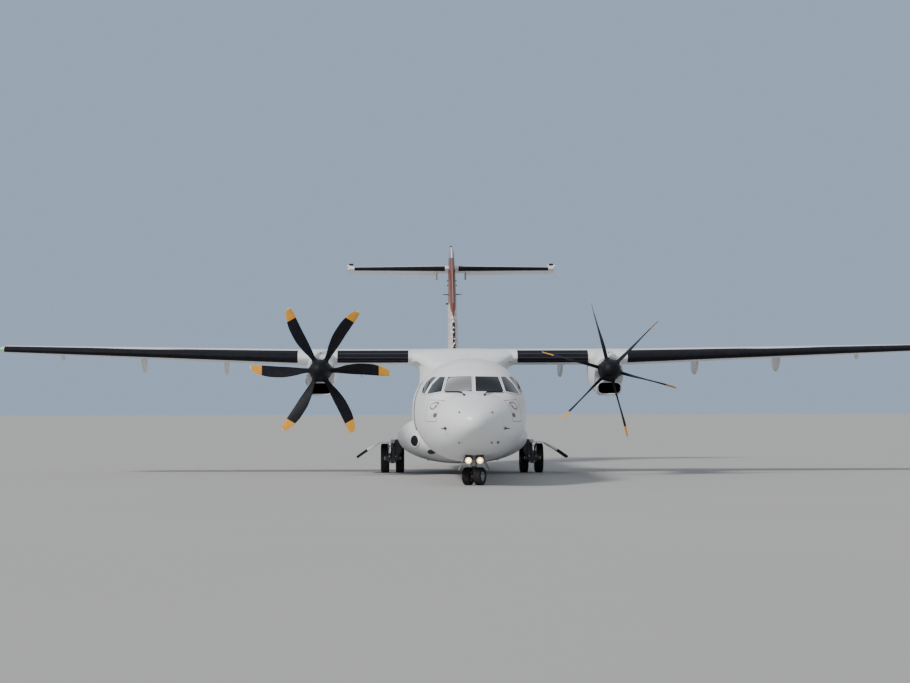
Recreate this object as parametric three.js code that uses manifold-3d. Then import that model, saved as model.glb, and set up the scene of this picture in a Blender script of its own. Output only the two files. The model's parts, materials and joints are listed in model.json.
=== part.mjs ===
// Twin turboprop airliner with a high wing and a T-tail, standing on its landing gear.
// Millimetres. +Z is up, the nose points to -Y, and +X is the aircraft's left. The origin is on the ground.
// A station is a distance aft of the nose tip.
import * as THREE from "three";
import { mergeVertices } from "three/addons/utils/BufferGeometryUtils.js";
import Module from "manifold-3d";

const wasm = await Module();
wasm.setup();

// Overall sizes
const LENGTH = 27166;
const HALF_SPAN = 13525;
const SEAT_GAP = 0.3; // between two pieces that touch
const HINGE_GAP = 0.5; // beside a hinge plate in its slot
const RUNNING_GAP = 14; // between a control surface and what it follows

// Fuselage sections as station, half width, bottom, widest height and top; its five parts meet at the joints
const BODY = [
  [0, 60, 1490, 1550, 1610],
  [60, 200, 1372, 1540, 1715],
  [150, 315, 1285, 1530, 1795],
  [400, 530, 1105, 1520, 1925],
  [900, 810, 870, 1530, 2105],
  [1300, 960, 755, 1560, 2225],
  [1620, 1055, 690, 1590, 2310],
  [2120, 1180, 620, 1650, 2695],
  [2600, 1268, 575, 1700, 2915],
  [3200, 1352, 540, 1740, 3088],
  [3900, 1415, 522, 1772, 3172],
  [4400, 1432.5, 520, 1780, 3188],
  [18300, 1432.5, 520, 1780, 3188],
  [20300, 1350, 700, 1860, 3188],
  [22200, 1090, 1130, 2100, 3175],
  [24000, 720, 1640, 2400, 3125],
  [25400, 380, 2080, 2600, 3050],
  [26250, 130, 2400, 2680, 2930],
];
const BODY_ROUNDNESS = 2.2;
const BODY_SIDES = 32;
const BODY_JOINTS = [0, 620, 3300, 9600, 16300, 26250];
const BODY_NAMES = ["radome", "nose_section", "forward_fuselage", "centre_fuselage", "rear_fuselage"];

// Flight deck panes: outlines seen from the front as x, z, or from the side as station, z
const PANE_THICKNESS = 24;
const WINDSCREEN = [[42, 2306], [733, 2302], [598, 2684], [42, 2690]];
const SIDE_PANE = [[1925, 2300], [2440, 2262], [2680, 2684], [2486, 2684]];
const REAR_PANE = [[2570, 2258], [3000, 2262], [2960, 2672], [2800, 2682]];

// Doors and exits: outline on the body side as stations and heights, and the panel's thickness
const DOOR_GAP = 8;
const DOOR_PANEL = 75;
const CARGO_DOOR = { front: 3900, rear: 5175, sill: 1160, head: 2690 };
const AIRSTAIR = { front: 19300, rear: 20050, sill: 1150, head: 2880 };
const SERVICE_DOOR = { front: 19350, rear: 20040, sill: 1200, head: 2430 };
const EXIT = { front: 5560, rear: 6070, sill: 1850, head: 2760 };
const DOORWAY_INNER_X = 250; // how far inboard the opening behind a hinged door reaches
const ENTRY = { half: 800, front: 18900, rear: 20700, floor: 1142, roof: 2750 }; // entrance behind the airstair
const CARGO_HINGE = { x: 1154, z: 2688 };
const AIRSTAIR_HINGE = { x: 1206, z: 1152 };
const AIRSTAIR_STEPS = 6;

// Wing: sections at x with leading edge station, chord, thickness ratio and mid height
const WING_KINK_X = 4900;
const WING_ROOT = [0, 11170, 2570, 0.183, 3362];
const WING_KINK = [WING_KINK_X, 11170, 2570, 0.183, 3362];
const WING_TIP = [13330, 11612, 1604, 0.135, 3627];
const WING_CAP = [HALF_SPAN, 11760, 1330, 0.07, 3634];
const WING_CAMBER = 0.02;
const FOIL_STEPS = 8;
const FLAP_START = 0.71; // share of the chord where flaps and ailerons begin
const INNER_FLAP = { from: 1640, to: 3480, endGap: RUNNING_GAP };
const OUTER_FLAP = { from: 4920, to: 9540, endGap: 40 }; // its slanted hinge moves it outboard as it turns
const AILERON = { from: 9620, to: 13080 };
const FLAP_HINGE_DROP = 480; // flap hinge below the wing's mid line
const FLAP_FAIRINGS = { inner: [2950], outer: [6970, 9400] };
const FAIRING_HALF_WIDTH = 62;
const FLAP_PLATE = { half: 14, front: -140, rear: 90, low: -26, high: 34 };
const FLAP_SLOT = { half: 14 + HINGE_GAP, front: -20, rear: 150, low: -300, high: 124 };
const AILERON_FAIRING_X = 11750;

// Wing-to-fuselage fairing: sections that flare out to the wing's lower side
const SADDLE_COLUMNS = ["station", "half", "bottom", "top", "flare", "low", "high"];
const SADDLE = [
  [9900, 450, 2500, 3120, 2, 2850, 2900],
  [10450, 880, 2500, 3300, 10, 2950, 3000],
  [10850, 1120, 2450, 3455, 60, 3150, 3200],
  [11080, 1200, 2400, 3545, 170, 3270, 3330],
  [11250, 1230, 2380, 3588, 260, 3262, 3365],
  [11430, 1250, 2350, 3620, 310, 3205, 3380],
  [11700, 1260, 2350, 3645, 330, 3178, 3390],
  [12200, 1260, 2350, 3645, 330, 3192, 3390],
  [12700, 1260, 2350, 3640, 320, 3240, 3385],
  [13300, 1260, 2350, 3600, 290, 3310, 3370],
  [13760, 1240, 2380, 3540, 200, 3340, 3365],
  [14300, 1180, 2450, 3450, 60, 3250, 3280],
  [15400, 850, 2500, 3290, 5, 2950, 3000],
  [16600, 420, 2500, 3120, 2, 2850, 2900],
];
const SADDLE_ROUNDNESS = 3;

// Belly fairing with the gear pods
const BELLY = [
  [9500, 640, 640, 900, 1150],
  [10200, 1150, 430, 960, 1400],
  [11000, 1660, 320, 1040, 1620],
  [11800, 1900, 285, 1080, 1770],
  [13400, 1900, 285, 1080, 1770],
  [14300, 1660, 320, 1040, 1620],
  [15200, 1150, 430, 960, 1400],
  [16000, 640, 640, 900, 1150],
];
const WELL = { inner: 1350, outer: 2300, front: 11960, rear: 13040, floor: 150, roof: 1000 };

// Engines: sections relative to the engine's own centre line
const ENGINE_X = 4050;
const HUB_STATION = 8950;
const HUB_HEIGHT = 2960;
const NACELLE = [
  [9120, 392, 2262, 2880, 3330],
  [9450, 408, 2248, 2880, 3470],
  [10300, 418, 2255, 2900, 3560],
  [11300, 405, 2300, 2950, 3600],
  [12400, 350, 2430, 3000, 3590],
  [13400, 255, 2660, 3080, 3480],
  [14000, 170, 2850, 3130, 3380],
  [14350, 75, 2990, 3160, 3300],
];
const INTAKE = { wall: 38, floor: 2200, roof: 2615, front: 9000, rear: 9900 };
const EXHAUST = { radius: 175, bore: 150, front: [160, 11500, 2780], rear: [395, 12260, 2700], depth: 420 };

// Propellers: blade sections along the radius, angles in degrees
const BLADE_COLUMNS = ["radius", "chord", "thickness", "sweep", "twist"];
const BLADE = [
  [150, 150, 110, 0, 24],
  [400, 175, 78, -6, 22],
  [700, 285, 42, -34, 14],
  [1050, 345, 28, -46, 6],
  [1400, 335, 20, -26, 0],
  [1700, 275, 14, 22, -4],
  [1880, 190, 10, 66, -6],
  [1962, 70, 7, 104, -7],
];
const BLADES = 6;
const BLADE_POINTS = 8;
const PROPELLERS = [
  { side: 1, name: "left", firstBlade: -15.3, pitch: 80 },
  { side: -1, name: "right", firstBlade: 30, pitch: 14 },
];
const SPINNER = [
  [0, -560],
  [120, -525],
  [212, -430],
  [272, -280],
  [304, -110],
  [312, 40],
  [312, 145],
];
const SHAFT = { radius: 90, rear: 169.5 };

// Fin and rudder: sections at a height with leading edge station, trailing edge station and half thickness
const FIN = [
  [2900, 18500, 26150, 200],
  [3250, 19700, 26300, 190],
  [3650, 21050, 26390, 180],
  [6700, 24400, 26940, 125],
  [7420, 25020, 27060, 96],
  [7650, 25600, 26800, 22],
];
const RUDDER = { foot: 3240, head: 7400, headGap: 34, hingeFoot: 25560, hingeHead: 26400, noseFoot: 105, noseHead: 48 };

// Stabiliser and elevators
const TAIL_ROOT = [0, 24930, 2263.6, 0.115, 6840];
const TAIL_TIP = [3630, 25480, 1560, 0.1, 6860];
const TAIL_CAP = [3725, 25640, 1330, 0.05, 6862];
const ELEVATOR_START = 0.62;
const TAIL_MIDDLE_CUT = 140; // how far ahead of the elevator hinge the stabiliser ends beside the rudder
const ELEVATOR = { from: 470, to: 3725, hornFrom: 3468, hornLead: 0.12 };
const ELEVATOR_DROOP_DEG = 8; // the elevators hang down as the aircraft stands

// Main gear
const MAIN = { x: 2050, station: 12500, radius: 432, width: 254, spacing: 440, rim: 205, axle: 40, boss: 64 };
const MAIN_PIVOT = { front: 12210, rear: 12790, height: 932, inner: WELL.inner + SEAT_GAP, outer: 2104 };
const MAIN_DOOR = [[1990, 916], [2110, 925], [2330, 919], [2400, 903], [2520, 853], [2700, 765], [2870, 658], [3110, 490]];
const MAIN_DOOR_PANEL = 26;
const MAIN_DOOR_ENDS = { front: 11950, rear: 13050 };

// Nose gear, turned to the aircraft's right as it parks
const NOSE = { station: 1730, radius: 222, width: 188, spacing: 312, rim: 108, axle: 30, boss: 44 };
const NOSE_STEER_DEG = -26;
const BAY = { half: 230, front: 1330, rear: 2560, floor: 300, roof: 1090 };
const BARREL = { radius: 74, foot: 470, piston: 52, boreDepth: 120 };
const LAMP = { radius: 84, x: 142, height: 612, front: 1590, rear: 1650 };

// Jacking pads and the tow fitting on the nose fork
const JACK_PADS = {
  radius: 45,
  nose: { x: 0, station: 2950, foot: 545, top: 640 },
  side: { x: 1000, station: 11500, foot: 380, top: 480 },
};
const TOW = { half: 34, reach: 135, low: 190, high: 254 };

const WHEEL_SIDES = 24;
const ROUND_SIDES = 14;

const PAINT = { white: 0xe9eaec, grey: 0x9da1a5, dark: 0x2b2d30, red: 0x8c3b33, black: 0x16171a };
const group = new THREE.Group();
group.name = "turboprop_airliner";

const at = (station) => station - LENGTH / 2;
const point = (x, station, z) => new THREE.Vector3(x, at(station), z);

// Rows of a table as objects with named fields
function rows(table, columns) {
  return table.map((row) => Object.fromEntries(columns.map((name, i) => [name, row[i]])));
}

// Closed surface through rings of points, closed at both ends, with its faces pointing out
function loft(rings) {
  const count = rings[0].length;
  const corners = rings.flat();
  const faces = [];
  for (let r = 0; r + 1 < rings.length; r++) {
    for (let i = 0; i < count; i++) {
      const a = r * count + i;
      const b = r * count + ((i + 1) % count);
      faces.push([a, b, b + count], [a, b + count, a + count]);
    }
  }
  const last = (rings.length - 1) * count;
  for (const [a, b, c] of capFaces(rings[0])) faces.push([c, b, a]);
  for (const [a, b, c] of capFaces(rings.at(-1))) faces.push([last + a, last + b, last + c]);
  return surface(corners, faces);
}

// Triangles that close a ring, in the ring's own turning sense
function capFaces(ring) {
  const normal = new THREE.Vector3();
  ring.forEach((p, i) => normal.add(new THREE.Vector3().crossVectors(p, ring[(i + 1) % ring.length])));
  const size = [Math.abs(normal.x), Math.abs(normal.y), Math.abs(normal.z)];
  const drop = size.indexOf(Math.max(...size));
  const flat = ring.map((p) => new THREE.Vector2(...p.toArray().filter((_, k) => k !== drop)));
  const turned = THREE.ShapeUtils.isClockWise(flat);
  return THREE.ShapeUtils.triangulateShape(flat, []).map((f) => (sameTurn(flat, f) === turned ? f : f.toReversed()));
}

// Whether a triangle of flat points runs clockwise
function sameTurn(flat, [a, b, c]) {
  return THREE.ShapeUtils.isClockWise([flat[a], flat[b], flat[c]]);
}

// Geometry from corners and triangles, turned right side out
function surface(corners, faces) {
  const volume = faces.reduce((sum, [a, b, c]) => {
    return sum + corners[a].dot(new THREE.Vector3().crossVectors(corners[b], corners[c]));
  }, 0);
  const index = faces.flatMap(([a, b, c]) => (volume < 0 ? [a, c, b] : [a, b, c]));
  const geometry = new THREE.BufferGeometry();
  geometry.setAttribute("position", new THREE.Float32BufferAttribute(corners.flatMap((p) => p.toArray()), 3));
  geometry.setIndex(index);
  return geometry;
}

// A three.js geometry as a solid that can be joined and cut
function solid(geometry) {
  const bare = geometry.clone();
  bare.deleteAttribute("normal");
  bare.deleteAttribute("uv");
  const merged = mergeVertices(bare, 1e-3);
  const vertProperties = new Float32Array(merged.attributes.position.array);
  const triVerts = new Uint32Array(merged.index.array);
  return new wasm.Manifold(new wasm.Mesh({ numProp: 3, vertProperties, triVerts }));
}

const join = (...parts) => parts.reduce((a, b) => a.add(b));

// The geometry of a solid
function geometryOf(body) {
  const mesh = body.getMesh();
  const geometry = new THREE.BufferGeometry();
  geometry.setAttribute("position", new THREE.BufferAttribute(new Float32Array(mesh.vertProperties), 3));
  geometry.setIndex(new THREE.BufferAttribute(new Uint32Array(mesh.triVerts), 1));
  return geometry;
}

// Adds one named piece to a group
function piece(name, shape, color, { roughness = 0.4, metalness = 0, parent = group } = {}) {
  const geometry = shape.isBufferGeometry ? shape : geometryOf(shape);
  geometry.computeVertexNormals();
  const mesh = new THREE.Mesh(geometry, new THREE.MeshStandardMaterial({ color, roughness, metalness }));
  mesh.name = name;
  parent.add(mesh);
  return mesh;
}

// Block between two stations, heights and x values
function block(x0, x1, front, rear, z0, z1) {
  const box = new THREE.BoxGeometry(Math.abs(x1 - x0), rear - front, z1 - z0);
  return solid(box.translate((x0 + x1) / 2, at((front + rear) / 2), (z0 + z1) / 2));
}

// Prism of an outline of x, z points, from one station to another
function frontPrism(outline, front, rear) {
  return solid(loft([front, rear].map((s) => outline.map(([x, z]) => point(x, s, z)))));
}

// Prism of an outline of station, z points, from one x to another
function sidePrism(outline, x0, x1) {
  return solid(loft([x0, x1].map((x) => outline.map(([s, z]) => point(x, s, z)))));
}

// Prism of an outline of x, station points, from one height to another
function planPrism(outline, z0, z1) {
  return solid(loft([z0, z1].map((z) => outline.map(([x, s]) => point(x, s, z)))));
}

// Round bar between two points, with a radius at each end
function bar(from, to, r0, r1 = r0, sides = ROUND_SIDES) {
  const along = new THREE.Vector3().subVectors(to, from);
  const shape = new THREE.CylinderGeometry(r1, r0, along.length(), sides);
  shape.applyQuaternion(new THREE.Quaternion().setFromUnitVectors(new THREE.Vector3(0, 1, 0), along.normalize()));
  return solid(shape.translate(...new THREE.Vector3().addVectors(from, to).multiplyScalar(0.5).toArray()));
}

// Bore with flats that just clear a round bar of a radius
function bore(from, to, radius) {
  return bar(from, to, (radius + SEAT_GAP) / Math.cos(Math.PI / ROUND_SIDES));
}

// Turned shape about the X axis from a profile of distance along the axis and radius, standing on a flat
function turnedOnX(profile) {
  const line = profile.map(([along, radius]) => new THREE.Vector2(turnedReach(radius), along));
  const lathe = new THREE.LatheGeometry(line, WHEEL_SIDES, Math.PI / WHEEL_SIDES);
  return lathe.rotateZ(-Math.PI / 2);
}

// Largest radius of a turned bar whose flats lie at a radius
const turnedReach = (radius) => radius / Math.cos(Math.PI / WHEEL_SIDES);

// Value of a table's columns at a station, on straight lines between its rows
function between(table, station) {
  const next = Math.max(1, table.findIndex((row) => row[0] >= station));
  const [a, b] = [table[next - 1], table[next]];
  const share = (station - a[0]) / (b[0] - a[0]);
  return a.map((value, i) => value + (b[i] - value) * share);
}

// Closed ring of a body section: rounded above and below the height where it is widest
function bodyRing(row, { inset = 0, x = 0, roundness = BODY_ROUNDNESS, sides = BODY_SIDES } = {}) {
  const [station, half, bottom, waist, top] = row;
  const power = (v) => Math.sign(v) * Math.abs(v) ** (2 / roundness);
  return Array.from({ length: sides }, (_, i) => {
    const turn = (2 * Math.PI * i) / sides;
    const up = power(Math.cos(turn));
    const reach = up > 0 ? top - inset - waist : waist - bottom - inset;
    return point(x + power(Math.sin(turn)) * (half - inset), station, waist + up * reach);
  });
}

// Rounded body between two stations of a table
function bodySolid(table, front, rear, options = {}) {
  const middle = table.filter((row) => row[0] > front + 1 && row[0] < rear - 1);
  const section = [between(table, front), ...middle, between(table, rear)];
  return solid(loft(section.map((row) => bodyRing(row, options))));
}

const wholeBody = (table, options) => bodySolid(table, table[0][0], table.at(-1)[0], options);

// Ring of a wing section, from the trailing edge over the top to the nose and back below
function foilRing(row, side, { grow = 0, camber = WING_CAMBER } = {}) {
  const [x, lead, chord, ratio, mid] = row;
  const steps = Array.from({ length: FOIL_STEPS + 1 }, (_, i) => (1 + Math.cos((Math.PI * i) / FOIL_STEPS)) / 2);
  const half = (c) => 5 * ratio * (0.2969 * c ** 0.5 - 0.126 * c - 0.3516 * c ** 2 + 0.2843 * c ** 3 - 0.1015 * c ** 4);
  const lift = (c) => 4 * camber * c * (1 - c);
  const skin = (c) => half(c) * chord + (c > 0 ? grow : 0);
  const upper = steps.map((c) => [c, lift(c) * chord + skin(c)]);
  const lower = steps.toReversed().slice(1).map((c) => [c, lift(c) * chord - skin(c)]);
  const stretch = (c) => lead - grow + c * (chord + 2 * grow);
  return [...upper, ...lower].map(([c, z]) => point(side * x, stretch(c), mid + z));
}

// Solid of a wing from its sections
function foilSolid(sections, side, options) {
  return solid(loft(sections.map((row) => foilRing(row, side, options))));
}

// Station of a share of the chord at x, and the mid height there, between two wing sections
function onChord(inner, outer, x, share) {
  const t = (x - inner[0]) / (outer[0] - inner[0]);
  const mix = (k) => inner[k] + (outer[k] - inner[k]) * t;
  return { station: mix(1) + share * mix(2), mid: mix(4), thickness: mix(2) * mix(3) };
}

// Rounded rectangle of stations and heights
function doorOutline({ front, rear, sill, head }, grow = 0, corner = 110) {
  const r = corner + grow;
  const corners = [
    [rear + grow - r, head + grow - r, 0],
    [front - grow + r, head + grow - r, 90],
    [front - grow + r, sill - grow + r, 180],
    [rear + grow - r, sill - grow + r, 270],
  ];
  return corners.flatMap(([s, z, start]) => [0, 30, 60, 90].map((step) => {
    const turn = THREE.MathUtils.degToRad(start + step);
    return [s + r * Math.cos(turn), z + r * Math.sin(turn)];
  }));
}

// Ends of a prism that reaches through one side of the body
const throughSide = (side, inner = 300) => [side * inner, side * 2000];

// Fuselage in five parts, with panes, doors, exits, the nose bay and the spaces behind the doors
function buildFuselage(wingRoom) {
  const parts = BODY_NAMES.map((_, i) => bodySolid(BODY, BODY_JOINTS[i], BODY_JOINTS[i + 1]));
  const outer = wholeBody(BODY);
  const cut = (index, tool) => {
    parts[index] = parts[index].subtract(tool);
  };
  addPanes(outer, cut);
  cut(1, block(-BAY.half, BAY.half, BAY.front, BAY.rear, BAY.floor, BAY.roof));
  cut(3, wingRoom);
  cut(4, block(-ENTRY.half, ENTRY.half, ENTRY.front, ENTRY.rear, ENTRY.floor, ENTRY.roof));
  parts[1] = parts[1].add(jackPad(JACK_PADS.nose));
  addDoors(outer, parts, cut);
  BODY_NAMES.forEach((name, i) => piece(name, parts[i], PAINT.white, { roughness: 0.35 }));
}

// Round pad with a flat foot for a jack
function jackPad({ x, station, foot, top }, side = 1) {
  return bar(point(side * x, station, foot), point(side * x, station, top), JACK_PADS.radius);
}

// Six panes flush with the nose, each seated in its own recess
function addPanes(outer, cut) {
  const core = wholeBody(BODY, { inset: PANE_THICKNESS });
  const deepCore = wholeBody(BODY, { inset: PANE_THICKNESS + SEAT_GAP });
  const deck = { front: 1450, rear: 3250 };
  for (const [side, name] of [[1, "left"], [-1, "right"]]) {
    const frames = {
      windscreen: (grow) => frontPrism(grown(WINDSCREEN, grow).map(([x, z]) => [side * x, z]), deck.front, deck.rear),
      side_pane: (grow) => sidePrism(grown(SIDE_PANE, grow), ...throughSide(side)),
      rear_pane: (grow) => sidePrism(grown(REAR_PANE, grow), ...throughSide(side)),
    };
    for (const [pane, frame] of Object.entries(frames)) {
      cut(1, frame(SEAT_GAP).subtract(deepCore));
      const glass = outer.intersect(frame(0)).subtract(core);
      piece(`${pane}_${name}`, glass, PAINT.dark, { roughness: 0.08, metalness: 0.1 });
    }
  }
}

// Outline with each edge moved out by an amount
function grown(outline, amount) {
  const corners = outline.map(([a, b]) => new THREE.Vector2(a, b));
  const sense = THREE.ShapeUtils.isClockWise(corners) ? -1 : 1;
  const outward = (a, b) => new THREE.Vector2(b.y - a.y, a.x - b.x).normalize().multiplyScalar(sense);
  return corners.map((corner, i) => {
    const before = outward(corners.at(i - 1), corner);
    const after = outward(corner, corners[(i + 1) % corners.length]);
    const shift = before.clone().add(after).multiplyScalar(amount / (1 + before.dot(after)));
    return corner.clone().add(shift).toArray();
  });
}

// A door panel: the body's skin inside an outline
function panel(outer, door, side, thickness) {
  const core = wholeBody(BODY, { inset: thickness });
  return outer.intersect(sidePrism(doorOutline(door), ...throughSide(side))).subtract(core);
}

// Cargo door and airstair with hinge plates, and the fixed service door and exits
function addDoors(outer, parts, cut) {
  addHingedDoor(outer, parts, 2, "cargo_door", CARGO_DOOR, CARGO_HINGE, -1, []);
  const steps = airstairSteps(outer);
  addHingedDoor(outer, parts, 4, "airstair_door", AIRSTAIR, AIRSTAIR_HINGE, 1, steps);
  const fixed = [
    ["service_door_right", SERVICE_DOOR, -1, 4],
    ["emergency_exit_left", EXIT, 1, 2],
    ["emergency_exit_right", EXIT, -1, 2],
  ];
  const deepCore = wholeBody(BODY, { inset: DOOR_PANEL + SEAT_GAP });
  for (const [name, door, side, index] of fixed) {
    cut(index, sidePrism(doorOutline(door, SEAT_GAP), ...throughSide(side)).subtract(deepCore));
    piece(name, panel(outer, door, side, DOOR_PANEL), PAINT.white);
  }
}

// A door that swings on a line along the body: sense is 1 where the door stands above its hinge, else -1
function addHingedDoor(outer, parts, index, name, door, hinge, sense, extras) {
  const frame = sidePrism(doorOutline(door, DOOR_GAP), DOORWAY_INNER_X, 2000);
  let body = parts[index].subtract(frame);
  let leaf = join(panel(outer, door, 1, DOOR_PANEL), ...extras);
  const edge = sense > 0 ? door.sill : door.head;
  for (const share of [0.2, 0.8]) {
    const station = door.front + (door.rear - door.front) * share;
    const reach = [edge + sense * 26, edge - sense * (DOOR_GAP + 40)].sort((a, b) => a - b);
    const slot = [edge + sense * 75, edge - sense * 40].sort((a, b) => a - b);
    const surfaceX = hinge.x + 12;
    body = body.add(block(surfaceX - 95, surfaceX, station - 18, station + 18, ...reach));
    leaf = leaf.subtract(block(surfaceX - 300, surfaceX + 200, station - 18 - HINGE_GAP, station + 18 + HINGE_GAP, ...slot));
  }
  parts[index] = body;
  piece(name, leaf, PAINT.white);
}

// Treads on the inner face of the airstair, shut with the door
function airstairSteps(outer) {
  const core = wholeBody(BODY, { inset: DOOR_PANEL - 20 });
  const pitch = (AIRSTAIR.head - AIRSTAIR.sill) / (AIRSTAIR_STEPS + 1);
  return Array.from({ length: AIRSTAIR_STEPS }, (_, i) => {
    const height = AIRSTAIR.sill + pitch * (i + 1);
    const tread = block(650, 1500, AIRSTAIR.front + 60, AIRSTAIR.rear - 60, height - 15, height + 15);
    return tread.intersect(core).subtract(wholeBody(BODY, { inset: 270 }));
  });
}

// Plate square to a hinge line at a point on it, or the slot for one when it is grown
function hingePlate(centre, axis, { half, front, rear, low, high }) {
  const aft = new THREE.Vector3(0, 1, 0).addScaledVector(axis, -axis.y).normalize();
  const up = new THREE.Vector3().crossVectors(axis, aft);
  const plate = new THREE.BoxGeometry(2 * half, rear - front, high - low);
  plate.translate(0, (front + rear) / 2, (low + high) / 2);
  plate.applyMatrix4(new THREE.Matrix4().makeBasis(axis, aft, up).setPosition(centre));
  return solid(plate);
}

// Small plate that reaches back by an amount from a hinge line into the fixed part, and its slot
const platePiece = (reach) => ({ half: 9, front: -reach, rear: 14, low: -20, high: 20 });
const plateSlot = (reach) => ({ half: 9 + HINGE_GAP, front: -reach, rear: 46, low: -200, high: 200 });
const direction = (from, to) => new THREE.Vector3().subVectors(to, from).normalize();

// Flap hinge fairing: a slim pod hung below the wing between two stations
function hingePod(x, side, front, rear, top, drop) {
  const length = rear - front;
  const shares = [[0, 0.15, 0.2], [0.2, 0.75, 0.75], [0.45, 1, 1], [0.7, 0.9, 0.9], [1, 0.12, 0.3]];
  const rings = shares.map(([along, width, depth]) => {
    const row = [front + along * length, FAIRING_HALF_WIDTH * width, top - drop * depth, top - drop * depth * 0.5, top + 60];
    return bodyRing(row, { x: side * x, sides: 12, roundness: 2.4 });
  });
  return solid(loft(rings));
}

// Wing in three parts, with its flaps, ailerons and hinge fairings
function buildWing() {
  const centreSections = [-1, 1].map((side) => foilRing(WING_KINK, side));
  let centre = solid(loft(centreSections));
  for (const [side, name] of [[1, "left"], [-1, "right"]]) {
    let outer = foilSolid([WING_KINK, WING_TIP, WING_CAP], side);
    const wholeCentre = foilSolid([WING_ROOT, WING_KINK], side);
    centre = addFlap(centre, wholeCentre, WING_ROOT, WING_KINK, INNER_FLAP, FLAP_FAIRINGS.inner, side, `flap_inner_${name}`);
    const wholeOuter = outer;
    outer = addFlap(outer, wholeOuter, WING_KINK, WING_TIP, OUTER_FLAP, FLAP_FAIRINGS.outer, side, `flap_outer_${name}`);
    outer = addAileron(outer, wholeOuter, side, `aileron_${name}`);
    piece(`outer_wing_${name}`, outer, PAINT.white);
  }
  piece("wing_centre", centre, PAINT.white);
}

// Outline in plan of the wing aft of a line of constant chord share, as x and station
function aftOfShare(inner, outer, { from, to }, side, shift) {
  const a = onChord(inner, outer, from, FLAP_START).station + shift;
  const b = onChord(inner, outer, to, FLAP_START).station + shift;
  return [[side * from, a], [side * to, b], [side * to, 15000], [side * from, 15000]];
}

// Cuts one flap out of a wing part and hangs it on fairings below; returns the wing part that is left
function addFlap(wing, whole, inner, outer, span, fairings, side, name) {
  const heights = [2500, 4200];
  const gap = RUNNING_GAP;
  const room = { from: span.from - 2 * gap, to: span.to + span.endGap };
  const hingeAt = (x) => {
    const { station, mid } = onChord(inner, outer, x, FLAP_START);
    return point(side * x, station, mid - FLAP_HINGE_DROP);
  };
  const axis = direction(hingeAt(side > 0 ? span.from : span.to), hingeAt(side > 0 ? span.to : span.from));
  let fixed = wing.subtract(planPrism(aftOfShare(inner, outer, room, side, -gap), ...heights));
  let flap = whole.intersect(planPrism(aftOfShare(inner, outer, span, side, 0), ...heights));
  for (const x of fairings) {
    const nose = onChord(inner, outer, x, FLAP_START);
    const chord = onChord(inner, outer, x, 1).station - onChord(inner, outer, x, 0).station;
    const hinge = nose.mid - FLAP_HINGE_DROP;
    const top = nose.mid - nose.thickness * 0.3;
    const pod = hingePod(x, side, nose.station - 0.34 * chord, nose.station + 0.38 * chord, top, top - hinge + 60);
    const ahead = block(side * (x - 200), side * (x + 200), nose.station - 3000, nose.station - 40, 2000, 4200);
    const behind = block(side * (x - 200), side * (x + 200), nose.station + 40, nose.station + 3000, 2000, 4200);
    const plate = hingePlate(hingeAt(x), axis, FLAP_PLATE);
    fixed = join(fixed, pod.intersect(ahead), plate);
    flap = flap.add(pod.intersect(behind).subtract(hingePlate(hingeAt(x), axis, FLAP_SLOT)));
  }
  piece(name, flap, PAINT.white);
  return fixed;
}

// Cuts one aileron out of an outer wing, with a round nose on its hinge line
function addAileron(wing, whole, side, name) {
  const heights = [2500, 4400];
  const hingeAt = (x) => onChord(WING_KINK, WING_TIP, x, FLAP_START + 0.03);
  const noseRadius = (x) => hingeAt(x).thickness * 0.27;
  const span = AILERON;
  const line = (x, shift) => [side * x, hingeAt(x).station + shift];
  const far = 15000;
  const { from, to } = span;
  const gap = RUNNING_GAP;
  const lineHeight = (x) => hingeAt(x).mid + hingeAt(x).thickness * 0.06;
  const room = [line(from - gap, -noseRadius(from) - gap), line(to + gap, -noseRadius(to) - gap)];
  const cutter = planPrism([...room, [side * (to + gap), far], [side * (from - gap), far]], ...heights);
  const tail = planPrism([line(from, 0), line(to, 0), [side * to, far], [side * from, far]], ...heights);
  const ends = [from, to].map((x) => point(side * x, hingeAt(x).station, lineHeight(x)));
  const axis = direction(ends[side > 0 ? 0 : 1], ends[side > 0 ? 1 : 0]);
  let aileron = whole.intersect(tail).add(bar(...ends, noseRadius(from), noseRadius(to), 16));
  let fixed = wing.subtract(cutter);
  for (const share of [0.12, 0.62, 0.93]) {
    const x = from + (to - from) * share;
    const centre = point(side * x, hingeAt(x).station, lineHeight(x));
    const reach = noseRadius(x) + gap + 60;
    fixed = fixed.add(hingePlate(centre, axis, platePiece(reach)));
    aileron = aileron.subtract(hingePlate(centre, axis, plateSlot(reach)));
  }
  const mount = onChord(WING_KINK, WING_TIP, AILERON_FAIRING_X, FLAP_START);
  const top = mount.mid - mount.thickness * 0.25;
  const pod = hingePod(AILERON_FAIRING_X, side, mount.station - 420, mount.station - 90, top, 190);
  piece(name, aileron, PAINT.white);
  return fixed.add(pod);
}

// Ring of the wing fairing: upright sides, a round flare out to the wing's lower side, and a rounded top
function saddleRing({ station, half, bottom, top, flare, low, high }) {
  const quarter = (count) => Array.from({ length: count }, (_, i) => (Math.PI / 2) * ((i + 1) / count));
  const out = quarter(4).map((a) => [half + flare * (1 - Math.cos(a)), low - flare + flare * Math.sin(a)]);
  const power = (v) => Math.abs(v) ** (2 / SADDLE_ROUNDNESS);
  const over = quarter(6).slice(0, -1).map((a) => [(half + flare) * power(Math.cos(a)), high + (top - high) * power(Math.sin(a))]);
  const left = [[half, bottom], [half, low - flare], ...out, [half + flare, high], ...over];
  const right = left.toReversed().map(([x, z]) => [-x, z]);
  return [...left, [0, top], ...right].map(([x, z]) => point(x, station, z));
}

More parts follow.
